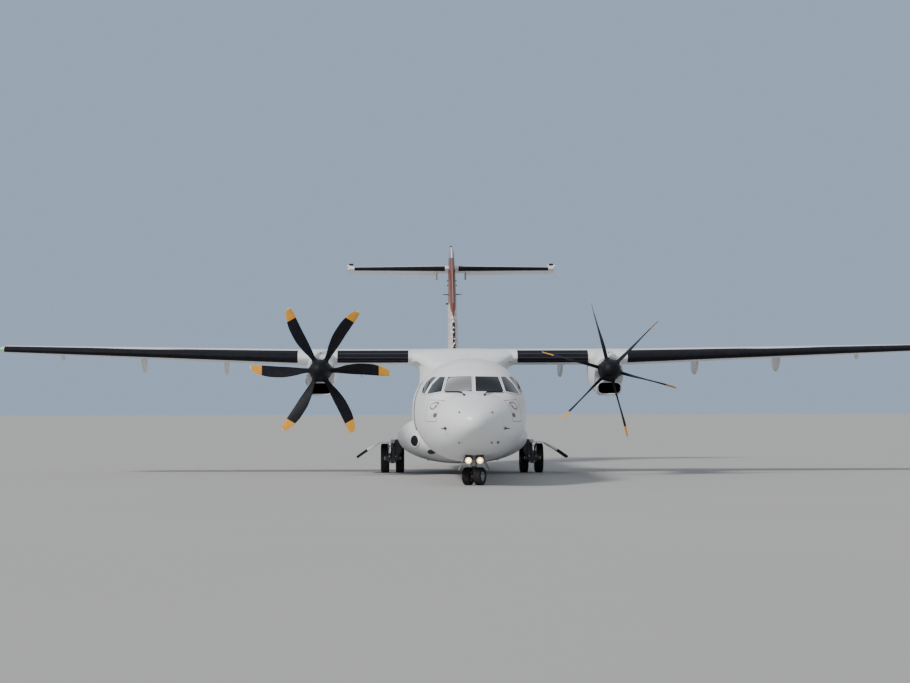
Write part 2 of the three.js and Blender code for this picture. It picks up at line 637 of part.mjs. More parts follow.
// Fairing that carries the wing's lines down to the body
function buildSaddle(wingRoom) {
  const body = bodySolid(BODY, 9000, 17500, { inset: -SEAT_GAP });
  const shape = solid(loft(rows(SADDLE, SADDLE_COLUMNS).map(saddleRing)));
  piece("wing_fairing", shape.subtract(body).subtract(wingRoom), PAINT.white);
}

// Belly fairing with a pod and an open wheel well on each side
function buildBelly() {
  const body = bodySolid(BODY, 9000, 17500, { inset: -SEAT_GAP });
  let shape = wholeBody(BELLY, { roundness: 2.1 }).subtract(body);
  for (const side of [1, -1]) {
    shape = shape.subtract(block(side * WELL.inner, side * WELL.outer, WELL.front, WELL.rear, WELL.floor, WELL.roof));
  }
  const pads = [1, -1].map((side) => jackPad(JACK_PADS.side, side));
  piece("belly_fairing", join(shape, ...pads), PAINT.white);
}

// Nacelles with a chin intake and an exhaust pipe on the outboard side
function buildNacelles(wingRoom) {
  for (const [side, name] of [[1, "left"], [-1, "right"]]) {
    const x = side * ENGINE_X;
    const shape = wholeBody(NACELLE, { x, sides: 28 });
    const throat = wholeBody(extended(NACELLE), { x, sides: 28, inset: INTAKE.wall });
    const mouth = block(x - 400, x + 400, INTAKE.front, INTAKE.rear, INTAKE.floor, INTAKE.roof);
    const [front, rear] = [EXHAUST.front, EXHAUST.rear].map(([dx, s, z]) => point(x + side * dx, s, z));
    const along = new THREE.Vector3().subVectors(rear, front).normalize();
    const boreStart = rear.clone().addScaledVector(along, -EXHAUST.depth);
    const hole = bar(boreStart, rear.clone().addScaledVector(along, 50), EXHAUST.bore);
    const pipe = bar(front, rear, EXHAUST.radius);
    piece(`nacelle_${name}`, shape.add(pipe).subtract(hole).subtract(throat.intersect(mouth)).subtract(wingRoom), PAINT.white);
  }
}

// The nacelle's table with its first section carried forward, for a cut that starts in front of it
function extended(table) {
  const [station, ...rest] = table[0];
  return [[station - 200, ...rest], ...table.slice(1)];
}

// One blade about the propeller's centre: a flattened section carried along the radius
function blade(turn, pitch) {
  const out = new THREE.Vector3(Math.sin(turn), 0, Math.cos(turn));
  const across = new THREE.Vector3(Math.cos(turn), 0, -Math.sin(turn));
  const along = new THREE.Vector3(0, 1, 0);
  const rings = rows(BLADE, BLADE_COLUMNS).map(({ radius, chord, thickness, sweep, twist }) => {
    const angle = THREE.MathUtils.degToRad(pitch + twist);
    const chordLine = across.clone().multiplyScalar(Math.cos(angle)).addScaledVector(along, Math.sin(angle));
    const face = across.clone().multiplyScalar(-Math.sin(angle)).addScaledVector(along, Math.cos(angle));
    return Array.from({ length: BLADE_POINTS }, (_, i) => {
      const step = (2 * Math.PI * i) / BLADE_POINTS;
      const p = out.clone().multiplyScalar(radius);
      p.addScaledVector(chordLine, (chord / 2) * Math.cos(step) + sweep);
      return p.addScaledVector(face, (thickness / 2) * Math.sin(step));
    });
  });
  return solid(loft(rings));
}

// Propellers: six blades fused to a spinner, with the end of the shaft behind it
function buildPropellers() {
  for (const { side, name, firstBlade, pitch } of PROPELLERS) {
    const profile = [...SPINNER, [SHAFT.radius, 145], [SHAFT.radius, SHAFT.rear], [0, SHAFT.rear]];
    const line = profile.map(([radius, along]) => new THREE.Vector2(radius, along));
    const spinner = solid(new THREE.LatheGeometry(line, WHEEL_SIDES));
    const blades = Array.from({ length: BLADES }, (_, i) => {
      return blade(THREE.MathUtils.degToRad(firstBlade + (360 / BLADES) * i), pitch);
    });
    const mesh = piece(`propeller_${name}`, join(spinner, ...blades), PAINT.black);
    mesh.position.copy(point(side * ENGINE_X, HUB_STATION, HUB_HEIGHT));
  }
}

// Ring of a fin section at one height
function finRing([height, lead, rear, half], grow = 0) {
  const steps = Array.from({ length: FOIL_STEPS + 1 }, (_, i) => (1 - Math.cos((Math.PI * i) / FOIL_STEPS)) / 2);
  const width = (c) => half * 2.02 * (1.4845 * c ** 0.5 - 0.63 * c - 1.758 * c ** 2 + 1.4215 * c ** 3 - 0.5075 * c ** 4) + grow;
  const station = (c) => lead + (rear - lead) * c;
  const leftSide = steps.map((c) => point(width(c), station(c), height));
  const rightSide = steps.toReversed().slice(0, -1).map((c) => point(-width(c), station(c), height));
  return [...leftSide, ...rightSide];
}

// Fin with its dorsal fillet, and the rudder on a slanted hinge line
function buildFin(stabiliserRoom) {
  const whole = solid(loft(FIN.map((row) => finRing(row))));
  const { foot, head, headGap, hingeFoot, hingeHead, noseFoot, noseHead } = RUDDER;
  const slope = (hingeHead - hingeFoot) / (head - foot);
  const hingeAt = (z) => hingeFoot + slope * (z - foot);
  const noseAt = (z) => noseFoot + ((noseHead - noseFoot) * (z - foot)) / (head - foot);
  const gap = RUNNING_GAP;
  const far = 28000;
  const region = (z0, z1, shift) => [[hingeAt(z0) + shift(z0), z0], [far, z0], [far, z1], [hingeAt(z1) + shift(z1), z1]];
  const cutter = sidePrism(region(foot - gap, head + headGap, (z) => -noseAt(z) - gap), -500, 500);
  const tail = sidePrism(region(foot, head, () => 0), -500, 500);
  const nose = bar(point(0, hingeFoot, foot), point(0, hingeHead, head), noseFoot, noseHead, 16);
  let rudder = whole.intersect(tail).add(nose.intersect(block(-500, 500, 20000, far, foot, head)));
  let fin = whole.subtract(cutter).subtract(bodySolid(BODY, 16300, 26250, { inset: -SEAT_GAP }));
  const axis = direction(point(0, hingeFoot, foot), point(0, hingeHead, head));
  for (const share of [0.08, 0.4, 0.72]) {
    const z = foot + (head - foot) * share;
    const reach = noseAt(z) + gap + 100;
    fin = fin.add(hingePlate(point(0, hingeAt(z), z), axis, platePiece(reach)));
    rudder = rudder.subtract(hingePlate(point(0, hingeAt(z), z), axis, plateSlot(reach)));
  }
  piece("fin", fin.subtract(stabiliserRoom), PAINT.red);
  piece("rudder", rudder, PAINT.red);
}

// Geometry of a solid turned about a line through a point
function turnedAbout(body, centre, axis, degrees) {
  const turn = new THREE.Matrix4().makeRotationAxis(axis, THREE.MathUtils.degToRad(degrees));
  const back = new THREE.Matrix4().makeTranslation(...centre.clone().negate().toArray());
  return geometryOf(body).applyMatrix4(turn.multiply(back).premultiply(new THREE.Matrix4().makeTranslation(...centre.toArray())));
}

// Stabiliser in one piece, and an elevator with a tip horn on each side
function buildStabiliser() {
  const options = { camber: 0 };
  let stabiliser = solid(loft([TAIL_CAP, TAIL_TIP, TAIL_ROOT].map((row) => foilRing(row, -1, options)).concat(
    [TAIL_TIP, TAIL_CAP].map((row) => foilRing(row, 1, options)))));
  const whole = stabiliser;
  const heights = [6400, 7300];
  const hingeAt = (x) => onChord(TAIL_ROOT, TAIL_TIP, x, ELEVATOR_START);
  const noseRadius = (x) => hingeAt(x).thickness * 0.36;
  const { from, to, hornFrom, hornLead } = ELEVATOR;
  const hornStation = onChord(TAIL_ROOT, TAIL_TIP, hornFrom, hornLead).station;
  const gap = RUNNING_GAP;
  const far = 28000;
  const beyond = to + 200;
  for (const [side, name] of [[1, "left"], [-1, "right"]]) {
    const outline = (grow) => [
      [from - grow, far],
      [from - grow, hingeAt(from).station - (grow > 0 ? noseRadius(from) + grow : 0)],
      [hornFrom - grow, hingeAt(hornFrom).station - (grow > 0 ? noseRadius(hornFrom) + grow : 0)],
      [hornFrom - grow, hornStation - grow],
      [beyond, hornStation - grow],
      [beyond, far],
    ].map(([x, s]) => [side * x, s]);
    stabiliser = stabiliser.subtract(planPrism(outline(gap), ...heights));
    const ends = [from, hornFrom].map((x) => point(side * x, hingeAt(x).station, hingeAt(x).mid));
    const axis = direction(ends[side > 0 ? 0 : 1], ends[side > 0 ? 1 : 0]);
    let elevator = whole.intersect(planPrism(outline(0), ...heights));
    elevator = elevator.add(bar(...ends, noseRadius(from), noseRadius(hornFrom), 16));
    for (const share of [0.1, 0.55, 0.9]) {
      const x = from + (hornFrom - from) * share;
      const centre = point(side * x, hingeAt(x).station, hingeAt(x).mid);
      const reach = noseRadius(x) + gap + 60;
      stabiliser = stabiliser.add(hingePlate(centre, axis, platePiece(reach)));
      elevator = elevator.subtract(hingePlate(centre, axis, plateSlot(reach)));
    }
    piece(`elevator_${name}`, turnedAbout(elevator, ends[0], axis, -ELEVATOR_DROOP_DEG), PAINT.white);
  }
  const middle = block(-from + gap, from - gap, hingeAt(0).station - TAIL_MIDDLE_CUT, far, ...heights);
  piece("stabiliser", stabiliser.subtract(middle), PAINT.white);
}

// Tyre ring, with its flats down, at a distance along the axle
function tyre({ radius, width, rim }, along) {
  const half = width / 2;
  const shape = [
    [-half * 0.8, rim],
    [-half, rim + (radius - rim) * 0.3],
    [-half, rim + (radius - rim) * 0.72],
    [-half * 0.82, radius * 0.965],
    [-half * 0.45, radius],
    [half * 0.45, radius],
    [half * 0.82, radius * 0.965],
    [half, rim + (radius - rim) * 0.72],
    [half, rim + (radius - rim) * 0.3],
    [half * 0.8, rim],
    [-half * 0.8, rim],
  ];
  return turnedOnX(shape.map(([a, r]) => [a + along, r]));
}

// Two rims on one axle
function hub({ width, spacing, rim, axle, boss }) {
  const centre = spacing / 2;
  const half = width / 2;
  const barrel = rim - SEAT_GAP;
  const side = [
    [boss + 14, axle],
    [centre - half * 0.85, rim * 0.55],
    [centre - half * 0.75, barrel],
    [centre + half * 0.75, barrel],
    [centre + half * 0.9, rim * 0.6],
    [centre + half * 0.95, 0],
  ];
  const mirrored = side.toReversed().map(([a, r]) => [-a, r]);
  return turnedOnX([...mirrored, ...side]);
}

// One set of twin wheels placed at its axle
function addWheels(prefix, spec, parent, place) {
  const set = new THREE.Group();
  set.position.copy(place);
  parent.add(set);
  piece(`${prefix}_hub`, hub(spec), PAINT.grey, { metalness: 0.6, parent: set });
  piece(`${prefix}_tyre_left`, tyre(spec, spec.spacing / 2), PAINT.black, { roughness: 0.9, parent: set });
  piece(`${prefix}_tyre_right`, tyre(spec, -spec.spacing / 2), PAINT.black, { roughness: 0.9, parent: set });
}

// Main gear: trailing arm and shock strut between the twin wheels, on two cross tubes in the well
function buildMainGear() {
  for (const [side, name] of [[1, "left"], [-1, "right"]]) {
    const x = side * MAIN.x;
    const { front, rear, height, inner, outer } = MAIN_PIVOT;
    const axle = point(x, MAIN.station, MAIN.radius);
    const along = (dx) => new THREE.Vector3(x + dx, at(MAIN.station), MAIN.radius);
    const leg = join(
      bar(point(side * inner, front, height), point(side * outer, front, height), 54),
      bar(point(side * inner, rear, height), point(side * outer, rear, height), 42),
      bar(point(x, front, height), axle, 52, 52),
      bar(point(x, rear, height), point(x, MAIN.station + 60, MAIN.radius + 60), 50, 38),
      bar(along(-MAIN.boss), along(MAIN.boss), 92),
    );
    piece(`main_leg_${name}`, leg.subtract(bore(along(-200), along(200), turnedReach(MAIN.axle))), PAINT.grey, { metalness: 0.5 });
    addWheels(`main_${name}`, MAIN, group, axle);
    addMainDoor(side, name);
  }
}

// Main gear door: a curved panel over the outer tyre, carried by two rods on the front cross tube's end
function addMainDoor(side, name) {
  const outline = [...MAIN_DOOR, ...MAIN_DOOR.toReversed().map(([x, z]) => [x - 4, z - MAIN_DOOR_PANEL])];
  let shell = frontPrism(outline.map(([x, z]) => [side * x, z]), MAIN_DOOR_ENDS.front, MAIN_DOOR_ENDS.rear);
  const end = side * (MAIN_PIVOT.outer + HINGE_GAP);
  shell = shell.subtract(block(side * 1900, end, MAIN_PIVOT.front - 80, MAIN_PIVOT.rear + 80, 800, 1000));
  piece(`main_door_${name}`, shell, PAINT.white);
}

// Nose gear: leg with two lamps and a drag strut in the bay, steered fork with twin wheels, two doors
function buildNoseGear() {
  const { station } = NOSE;
  const foot = BARREL.foot;
  const lampArms = [1, -1].map((side) => join(
    bar(point(side * LAMP.x, LAMP.front, LAMP.height), point(side * LAMP.x, LAMP.rear, LAMP.height), LAMP.radius),
    block(0, side * LAMP.x, LAMP.rear - 25, station, LAMP.height - 18, LAMP.height + 18),
  ));
  const leg = join(
    bar(point(0, station, foot), point(0, station, BAY.roof - SEAT_GAP), BARREL.radius),
    bar(point(0, station + 30, 640), point(0, 2380, 1040), 34),
    bar(point(-BAY.half + 1, 2380, 1040), point(BAY.half - 1, 2380, 1040), 26),
    ...lampArms,
  );
  const hole = bore(point(0, station, foot - 50), point(0, station, foot + BARREL.boreDepth), BARREL.piston);
  piece("nose_leg", leg.subtract(hole), PAINT.grey, { metalness: 0.5 });

  const steered = new THREE.Group();
  steered.position.copy(point(0, station, 0));
  steered.rotation.z = THREE.MathUtils.degToRad(NOSE_STEER_DEG);
  group.add(steered);
  const centre = new THREE.Vector3(0, 0, NOSE.radius);
  const across = (dx) => new THREE.Vector3(dx, 0, NOSE.radius);
  const fork = join(
    bar(centre, new THREE.Vector3(0, 0, foot + BARREL.boreDepth - SEAT_GAP), BARREL.piston),
    bar(across(-NOSE.boss), across(NOSE.boss), 66),
    towFitting(),
  ).subtract(bore(across(-100), across(100), turnedReach(NOSE.axle)));
  piece("nose_fork", fork, PAINT.grey, { metalness: 0.6, parent: steered });
  addWheels("nose", NOSE, steered, centre);
  for (const [side, name] of [[1, "left"], [-1, "right"]]) addNoseDoor(side, name);
}

// Block on the front of the fork that takes a tow bar, in the fork's own frame
function towFitting() {
  const { half, reach, low, high } = TOW;
  return solid(new THREE.BoxGeometry(2 * half, reach, high - low).translate(0, -reach / 2, (low + high) / 2));
}

// Nose door: hangs from the bay's edge and splays out below the body
function addNoseDoor(side, name) {
  const edge = BAY.half - HINGE_GAP;
  const ends = [[1420, 745], [2300, 632]];
  const rings = ends.map(([s, belly]) => [
    [edge - 14, belly + 24],
    [edge, belly + 24],
    [edge, belly - 24],
    [385, 376],
    [371, 372],
    [edge - 14, belly - 30],
  ].map(([x, z]) => point(side * x, s, z)));
  piece(`nose_door_${name}`, solid(loft(rings)), PAINT.white);
}

const wingRoom = solid(loft([-1, 1].map((side) => foilRing(WING_KINK, side, { grow: SEAT_GAP }))));
const tailRoomOptions = { camber: 0, grow: 2.5 * SEAT_GAP };
const tailRoom = solid(loft(
  [TAIL_TIP, TAIL_ROOT].map((row) => foilRing(row, -1, tailRoomOptions)).concat([foilRing(TAIL_TIP, 1, tailRoomOptions)]),
));
buildFuselage(wingRoom);
buildWing();
buildSaddle(wingRoom);
buildBelly();
buildNacelles(wingRoom);
buildPropellers();
buildFin(tailRoom);
buildStabiliser();
buildMainGear();
buildNoseGear();

export default group;
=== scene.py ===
import json
import math

import bmesh
import bpy
import numpy as np
from bpy.props import FloatProperty, FloatVectorProperty, IntProperty, PointerProperty
from mathutils import Matrix, Vector

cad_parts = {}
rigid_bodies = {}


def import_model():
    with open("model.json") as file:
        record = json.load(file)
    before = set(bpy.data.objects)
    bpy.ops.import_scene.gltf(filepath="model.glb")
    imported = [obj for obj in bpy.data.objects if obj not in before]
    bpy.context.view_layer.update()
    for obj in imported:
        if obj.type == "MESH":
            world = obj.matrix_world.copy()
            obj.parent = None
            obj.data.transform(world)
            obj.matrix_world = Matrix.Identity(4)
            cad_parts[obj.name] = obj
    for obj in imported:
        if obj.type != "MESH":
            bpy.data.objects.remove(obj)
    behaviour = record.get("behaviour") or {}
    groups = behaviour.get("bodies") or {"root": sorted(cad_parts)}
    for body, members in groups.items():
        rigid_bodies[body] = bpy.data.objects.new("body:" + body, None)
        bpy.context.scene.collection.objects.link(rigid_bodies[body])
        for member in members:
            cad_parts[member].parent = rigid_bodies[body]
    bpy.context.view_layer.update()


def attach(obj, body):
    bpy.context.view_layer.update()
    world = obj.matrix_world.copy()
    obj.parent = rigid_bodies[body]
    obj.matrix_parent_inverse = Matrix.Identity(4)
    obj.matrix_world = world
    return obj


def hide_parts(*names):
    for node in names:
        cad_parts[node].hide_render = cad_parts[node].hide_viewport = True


bl_info = {
    "name": "Twin turboprop airliner",
    "version": (1, 0, 0),
    "blender": (4, 5, 0),
    "location": "View3D > Sidebar > Airliner",
    "description": "Dresses the jointed frame of a high-wing twin turboprop airliner",
    "category": "Object",
}

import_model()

# Sizes in millimetres. A station is a distance aft of the nose tip; left is the aircraft's own left, +X.
MIDDLE_STATION = 13583
# Metres of Object Y ahead of which the nose shows no hoop joints
NOSE_LINES_END = -9.8

# Columns: station, half width, bottom, waist, top
BODY = [
    [0, 4, 1545, 1550, 1555],
    [5, 58, 1500, 1550, 1600],
    [15, 100, 1463, 1547, 1632],
    [30, 141, 1425, 1544, 1666],
    [60, 200, 1372, 1540, 1715],
    [150, 315, 1285, 1530, 1795],
    [400, 530, 1105, 1520, 1925],
    [900, 810, 870, 1530, 2105],
    [1300, 960, 755, 1560, 2225],
    [1620, 1055, 690, 1590, 2310],
    [2120, 1180, 620, 1650, 2695],
    [2600, 1268, 575, 1700, 2915],
    [3200, 1352, 540, 1740, 3088],
    [3900, 1415, 522, 1772, 3172],
    [4400, 1432.5, 520, 1780, 3188],
    [18300, 1432.5, 520, 1780, 3188],
    [20300, 1350, 700, 1860, 3188],
    [22200, 1090, 1130, 2100, 3175],
    [24000, 720, 1640, 2400, 3125],
    [25400, 380, 2080, 2600, 3050],
    [26250, 130, 2400, 2680, 2930],
    [26310, 96, 2440, 2685, 2895],
    [26340, 4, 2660, 2690, 2725],
]
BODY_ROUNDNESS = 2.2
RADOME_JOINT = 620

# Panes as seen from ahead: corners of x and height
PANES = {
    "windscreen": [[44, 2303], [742, 2306], [622, 2678], [44, 2687]],
    "side_pane": [[792, 2308], [1147, 2250], [1012, 2492], [819, 2680], [692, 2678]],
    "rear_pane": [
        [1200, 2256],
        [1262, 2298],
        [1236, 2412],
        [1150, 2562],
        [1004, 2681],
        [896, 2684],
        [1066, 2490],
    ],
}

# Nose fittings: latches (x, height, radius, sides), probes (station, height), ports (spot, half widths,
# points) and the plate (station, height) round the ports
LATCHES = [(394, 1797, 26, (1, -1)), (393, 1066, 26, (1, -1)), (554, 1071, 36, (1,))]
PROBES = [(750, 1410)]
UPPER_PORT = ((1715, 1958), 190, 96, 32)
LOWER_PORT = ((1390, 1727), 125, 58, 28)
PORT_SPOT = ((1620, 1948), 34, 40, 20)
WIPER_BLADE = [[700, 2290], [560, 2288], [420, 2284], [300, 2268]]
WIPER_ARM = [[420, 2284], [330, 2258], [250, 2215]]
WIPER_ARM_LIFTS = [34, 44, 18]
# Aerials (station, height of the foot, chord, rise) and beacons (station, height, direction up or down)
AERIALS = [(6300, 3138, 330, 300), (17500, 3139, 330, 300), (5200, 521, 260, -300), (7400, 521, 260, -300)]
BEACONS = [(8600, 3136, 1), (8000, 524, -1)]
BEACON_PROFILE = [(0, 0.075), (0.03, 0.072), (0.075, 0.05), (0.1, 0.0)]
ICE_GUARD = [7960, 9840, 1290, 2660]
STATIC_PLATE = [[1170, 1573], [2200, 1567], [2080, 2109], [1464, 2087]]

# Doors: front and rear station, low and high edge
DOOR_GAP = 8
DOOR_PANEL = 75
DOORWAY_INNER_X = 250
CARGO_DOOR = [3900, 5175, 1160, 2690]
AIRSTAIR = [19300, 20050, 1150, 2880]
AIRSTAIR_LEAF = [19304, 20050, 1168, 2880]
SERVICE_DOOR = [19350, 20040, 1200, 2430]
EXIT = [5560, 6070, 1850, 2760]
EXIT_WINDOW_STATION = 5815
# Cabin windows: half length, low and high edge, corner radius
WINDOW = {"half": 128, "low": 2065, "high": 2445, "corner": 92}
STEPS = {"count": 6, "station": 19700.0, "outer": 82, "inner": 262, "ends": 64, "half": 12}
RAIL = {"ends": 80, "height": 190, "inset": 190, "radius": 0.016}
# Spaces cut into the body: half width, front and rear station, floor and roof
ENTRY = [800, 18900, 20700, 1142, 2750]
BAY = [230, 1330, 2560, 300, 1090]

# Columns: distance from the middle, leading edge, chord, thickness as a share of the chord, middle height
WING = [
    [0, 11170, 2570, 0.183, 3362],
    [4900, 11170, 2570, 0.183, 3362],
    [13330, 11612, 1604, 0.135, 3627],
    [13525, 11760, 1330, 0.07, 3634],
]
WING_CAMBER = 0.02
WING_KINK_X = 4900
FLAP_START = 0.71
# Flaps: inner and outer end, gap at the outer end
INNER_FLAP = [1640, 3480, 14]
OUTER_FLAP = [4920, 9540, 40]
AILERON = [9620, 13080]
FLAP_HINGE_DROP = 480
INNER_FAIRINGS = [2950]
OUTER_FAIRINGS = [6970, 9400]
AILERON_FAIRING_X = 11750
AFT_OF_WING = 15000
# Flap pod. Columns: share of its length, share of its half width, share of its drop
POD_SHARES = [
    [0, 0.06, 0.1],
    [0.04, 0.4, 0.38],
    [0.2, 0.75, 0.75],
    [0.45, 1, 1],
    [0.7, 0.9, 0.9],
    [0.93, 0.4, 0.5],
    [1, 0.1, 0.3],
]
AILERON_ROD_PLACES = (9900, 11000, 12100, 12900)
TIP_LAMP = [(13330, 11625, 3640), (13460, 11700, 3642), (13520, 11880, 3640)]
RUNNING_GAP = 14

# Columns: station, half width, bottom, top, flare out to the wing, and the heights where the flare ends and
# the top starts
SADDLE = [
    [9900, 450, 2500, 3120, 2, 2850, 2900],
    [10450, 880, 2500, 3300, 10, 2950, 3000],
    [10850, 1120, 2450, 3455, 60, 3150, 3200],
    [11080, 1200, 2400, 3545, 170, 3270, 3330],
    [11250, 1230, 2380, 3588, 260, 3262, 3365],
    [11430, 1250, 2350, 3620, 310, 3205, 3380],
    [11700, 1260, 2350, 3645, 330, 3178, 3390],
    [12200, 1260, 2350, 3645, 330, 3192, 3390],
    [12700, 1260, 2350, 3640, 320, 3240, 3385],
    [13300, 1260, 2350, 3600, 290, 3310, 3370],
    [13760, 1240, 2380, 3540, 200, 3340, 3365],
    [14300, 1180, 2450, 3450, 60, 3250, 3280],
    [15400, 850, 2500, 3290, 5, 2950, 3000],
    [16600, 420, 2500, 3120, 2, 2850, 2900],
]
SADDLE_ROUNDNESS = 3
# Columns as in BODY
BELLY = [
    [9500, 640, 640, 900, 1150],
    [10200, 1150, 430, 960, 1400],
    [11000, 1660, 320, 1040, 1620],
    [11800, 1900, 285, 1080, 1770],
    [13400, 1900, 285, 1080, 1770],
    [14300, 1660, 320, 1040, 1620],
    [15200, 1150, 430, 960, 1400],
    [16000, 640, 640, 900, 1150],
]
BELLY_ROUNDNESS = 2.1
# Right pod's inlet and outlet: spot (x, height) and half widths across and up
POD_INLET = ((1400, 965), 118, 160)
POD_OUTLET = ((930, 660), 115, 70)
# Wheel well: inner and outer side, front and rear station, floor and roof
WELL = [1350, 2300, 11960, 13040, 150, 1000]

ENGINE_X = 4050
HUB_STATION = 8950
HUB_HEIGHT = 2960
# Columns as in BODY
NACELLE = [
    [9120, 392, 2262, 2880, 3330],
    [9450, 408, 2248, 2880, 3470],
    [10300, 418, 2255, 2900, 3560],
    [11300, 405, 2300, 2950, 3600],
    [12400, 350, 2430, 3000, 3590],
    [13400, 255, 2660, 3080, 3480],
    [14000, 170, 2850, 3130, 3380],
    [14350, 75, 2990, 3160, 3300],
]
# Chin intake: mouth (half width, floor, roof, corner) and rows of the scoop (station, half width, floor,
# roof)
INTAKE = {"half": 309, "floor": 2308, "roof": 2608, "corner": 125, "lip": 41, "front": 9085, "rear": 9900}
SCOOP = [
    [9085, 335, 2282, 2700],
    [9100, 350, 2267, 2700],
    [9450, 352, 2256, 2700],
    [9800, 338, 2258, 2700],
    [10200, 300, 2274, 2700],
    [10700, 225, 2330, 2700],
    [11100, 150, 2400, 2700],
]
EXHAUST = {"radius": 175, "bore": 150, "front": [160, 11500, 2780], "rear": [395, 12260, 2700], "depth": 420}
# Columns: radius, chord, thickness, sweep, twist in degrees
BLADE = [
    [150, 150, 110, 0, 24],
    [400, 175, 78, -6, 22],
    [700, 285, 52, -34, 14],
    [1050, 345, 42, -46, 6],
    [1400, 335, 34, -26, 0],
    [1700, 275, 25, 22, -4],
    [1880, 190, 17, 66, -6],
    [1950, 96, 9, 98, -7],
    [1962, 20, 5, 106, -7],
]
# Side, turn of the first blade and pitch, both in degrees
PROPELLERS = {"left": [1, -15.3, 87], "right": [-1, 30, 22]}
# Columns: distance aft of the hub, radius
SPINNER = [[-560, 0], [-552, 40], [-525, 120], [-430, 212], [-280, 272], [-110, 304], [40, 312], [145, 312]]
BLADE_CUFF = [(0.2, 0.088), (0.318, 0.09), (0.33, 0.082), (0.33, 0.0)]

# Columns: height, leading edge, trailing edge, half width
FIN = [
    [2900, 18500, 26150, 200],
    [3250, 19700, 26300, 190],
    [3650, 21050, 26390, 180],
    [6700, 24400, 26940, 125],
    [7420, 25020, 27060, 96],
    [7650, 25600, 26800, 22],
]
FIN_STUD_HEIGHTS = [6220, 6395]
FIN_BEACON = [(0, 0.05), (0.03, 0.048), (0.06, 0.03), (0.075, 0)]
FIN_BEACON_SPOT = (0, 25950, 7640)
# Side and height of the fin's two long rods
FIN_RODS = [(1, 5880), (-1, 5870)]
FAR_AFT = 28000
RUDDER = {"foot": 3240, "head": 7400, "head_gap": 34, "hinge": [25560, 26400], "nose": [105, 48]}
# Columns as in WING
TAIL = [
    [0, 24930, 2263.6, 0.115, 6840],
    [3630, 25480, 1560, 0.1, 6860],
    [3725, 25640, 1330, 0.05, 6862],
]
ELEVATOR_START = 0.62
TAIL_MIDDLE_CUT = 140
ELEVATOR = {"from": 470, "to": 3725, "horn_from": 3468, "horn_lead": 0.12}
ELEVATOR_DROOP_DEG = 8
ELEVATOR_ROD_PLACES = (1200, 2200, 3100)
HORN_EDGE_PLACES = (3485, 3540, 3600, 3640)
HORN_EDGE_HEIGHT = 6902
TAIL_FITTING = {"x": 512, "half": 27, "low": 6490, "high": 6800}

MAIN = {"x": 2050, "station": 12500, "radius": 432, "width": 254, "spacing": 440, "rim": 205, "axle": 40}
MAIN_PIVOT = {"front": 12210, "rear": 12790, "height": 932, "inner": 1350.3, "outer": 2104}
# Main door: the line of its outer face (distance out, height), and its thickness between two distances
MAIN_DOOR = [
    [1990, 916], [2110, 925], [2330, 919], [2400, 903], [2520, 853], [2700, 765], [2870, 658], [3110, 490]
]
MAIN_DOOR_PANEL = [[2420, 2620], [26, 66]]
MAIN_DOOR_ENDS = [11950, 13050]
MAIN_DOOR_DARK_FROM = 2780
MAIN_LEG_FOOT = {"station": 11985, "height": 440, "half": 215}
# Bars of the main leg. Columns: shift inboard, aft of the foot, above the foot, half width, half depth
LEG_CASTING = [
    [0, 0, -150, 70, 55],
    [0, 0, -60, 118, 78],
    [20, 5, 40, 128, 84],
    [90, 20, 130, 145, 88],
    [150, 50, 250, 152, 88],
    [185, 110, 390, 150, 84],
    [205, 195, 502, 120, 70],
]
TRAILING_ARM = [[0, 10, -20, 60, 70], [0, 160, -5, 54, 60], [0, 425, -8, 52, 56], [0, 555, -8, 50, 58]]
HINGE_CAP = [(-0.01, 0.062), (0.012, 0.062), (0.02, 0.05), (0.02, 0.026), (0.034, 0.026), (0.034, 0)]
HINGE_ROLLS = [(95, 150), (-75, 130)]
HINGE_LUGS = [(92, -84, 54, 0.022, 0.03), (56, -60, -110, 0.02, 0.024)]
HOSE_PLACES = (-0.1, -0.03, 0.06)
# Wheels. Columns: share of the tyre's half width, share of the rim's radius
WHEEL_DISC = [
    [-0.82, 0.62],
    [-0.82, 1.0],
    [-0.74, 1.05],
    [0.74, 1.05],
    [0.84, 1.0],
    [0.84, 0.9],
    [0.45, 0.82],
    [0.38, 0.45],
    [0.62, 0.36],
    [0.92, 0.28],
    [0.94, 0.0],
]
BRAKE_STACK = [[-0.95, 0.52], [-0.95, 0.9], [-0.3, 0.9], [-0.3, 0.52]]
WHEEL_BOLT = [(0, 0.012), (0.016, 0.012), (0.02, 0.008), (0.02, 0)]
WHEEL_BOLTS = 10
BOLT_CIRCLE = (0.4, 0.64)
# Radius of the hub cap's point, in millimetres
HUB_POINT = 0.0001
NOSE = {"station": 1730, "radius": 222, "width": 188, "spacing": 312, "rim": 108, "axle": 30}
NOSE_STEER_DEG = -26
LAMP = {"radius": 84, "x": 142, "height": 612, "front": 1590, "rear": 1650}

# Profiles of the nose leg and its lamps: distance along, radius, in metres
NOSE_LEG = [(0, 0.07), (0.01, 0.076), (0.12, 0.076), (0.13, 0.068), (0.5, 0.068), (0.6, 0.068)]
NOSE_PIN = {"station": 2380, "height": 1040, "half": 229}
LAMP_SHELL = [(0.0, 0.084), (0.03, 0.084), (0.075, 0.05), (0.095, 0.02), (0.095, 0)]
LAMP_HOOD = [(-0.08, 0.088), (-0.083, 0.086), (-0.08, 0.083), (0.004, 0.082), (0.004, 0.088)]
LAMP_GLASS = [(-0.014, 0.0), (-0.012, 0.03), (-0.009, 0.052), (0.004, 0.052), (0.004, 0.0)]
LAMP_RIM = [(-0.009, 0.0525), (-0.002, 0.081), (0.006, 0.081), (0.006, 0.0525)]
LAMP_BAR = [594, 630]
FORK_FACE = [[-34, 0], [34, 0], [34, 120], [24, 135], [-24, 135], [-34, 120]]
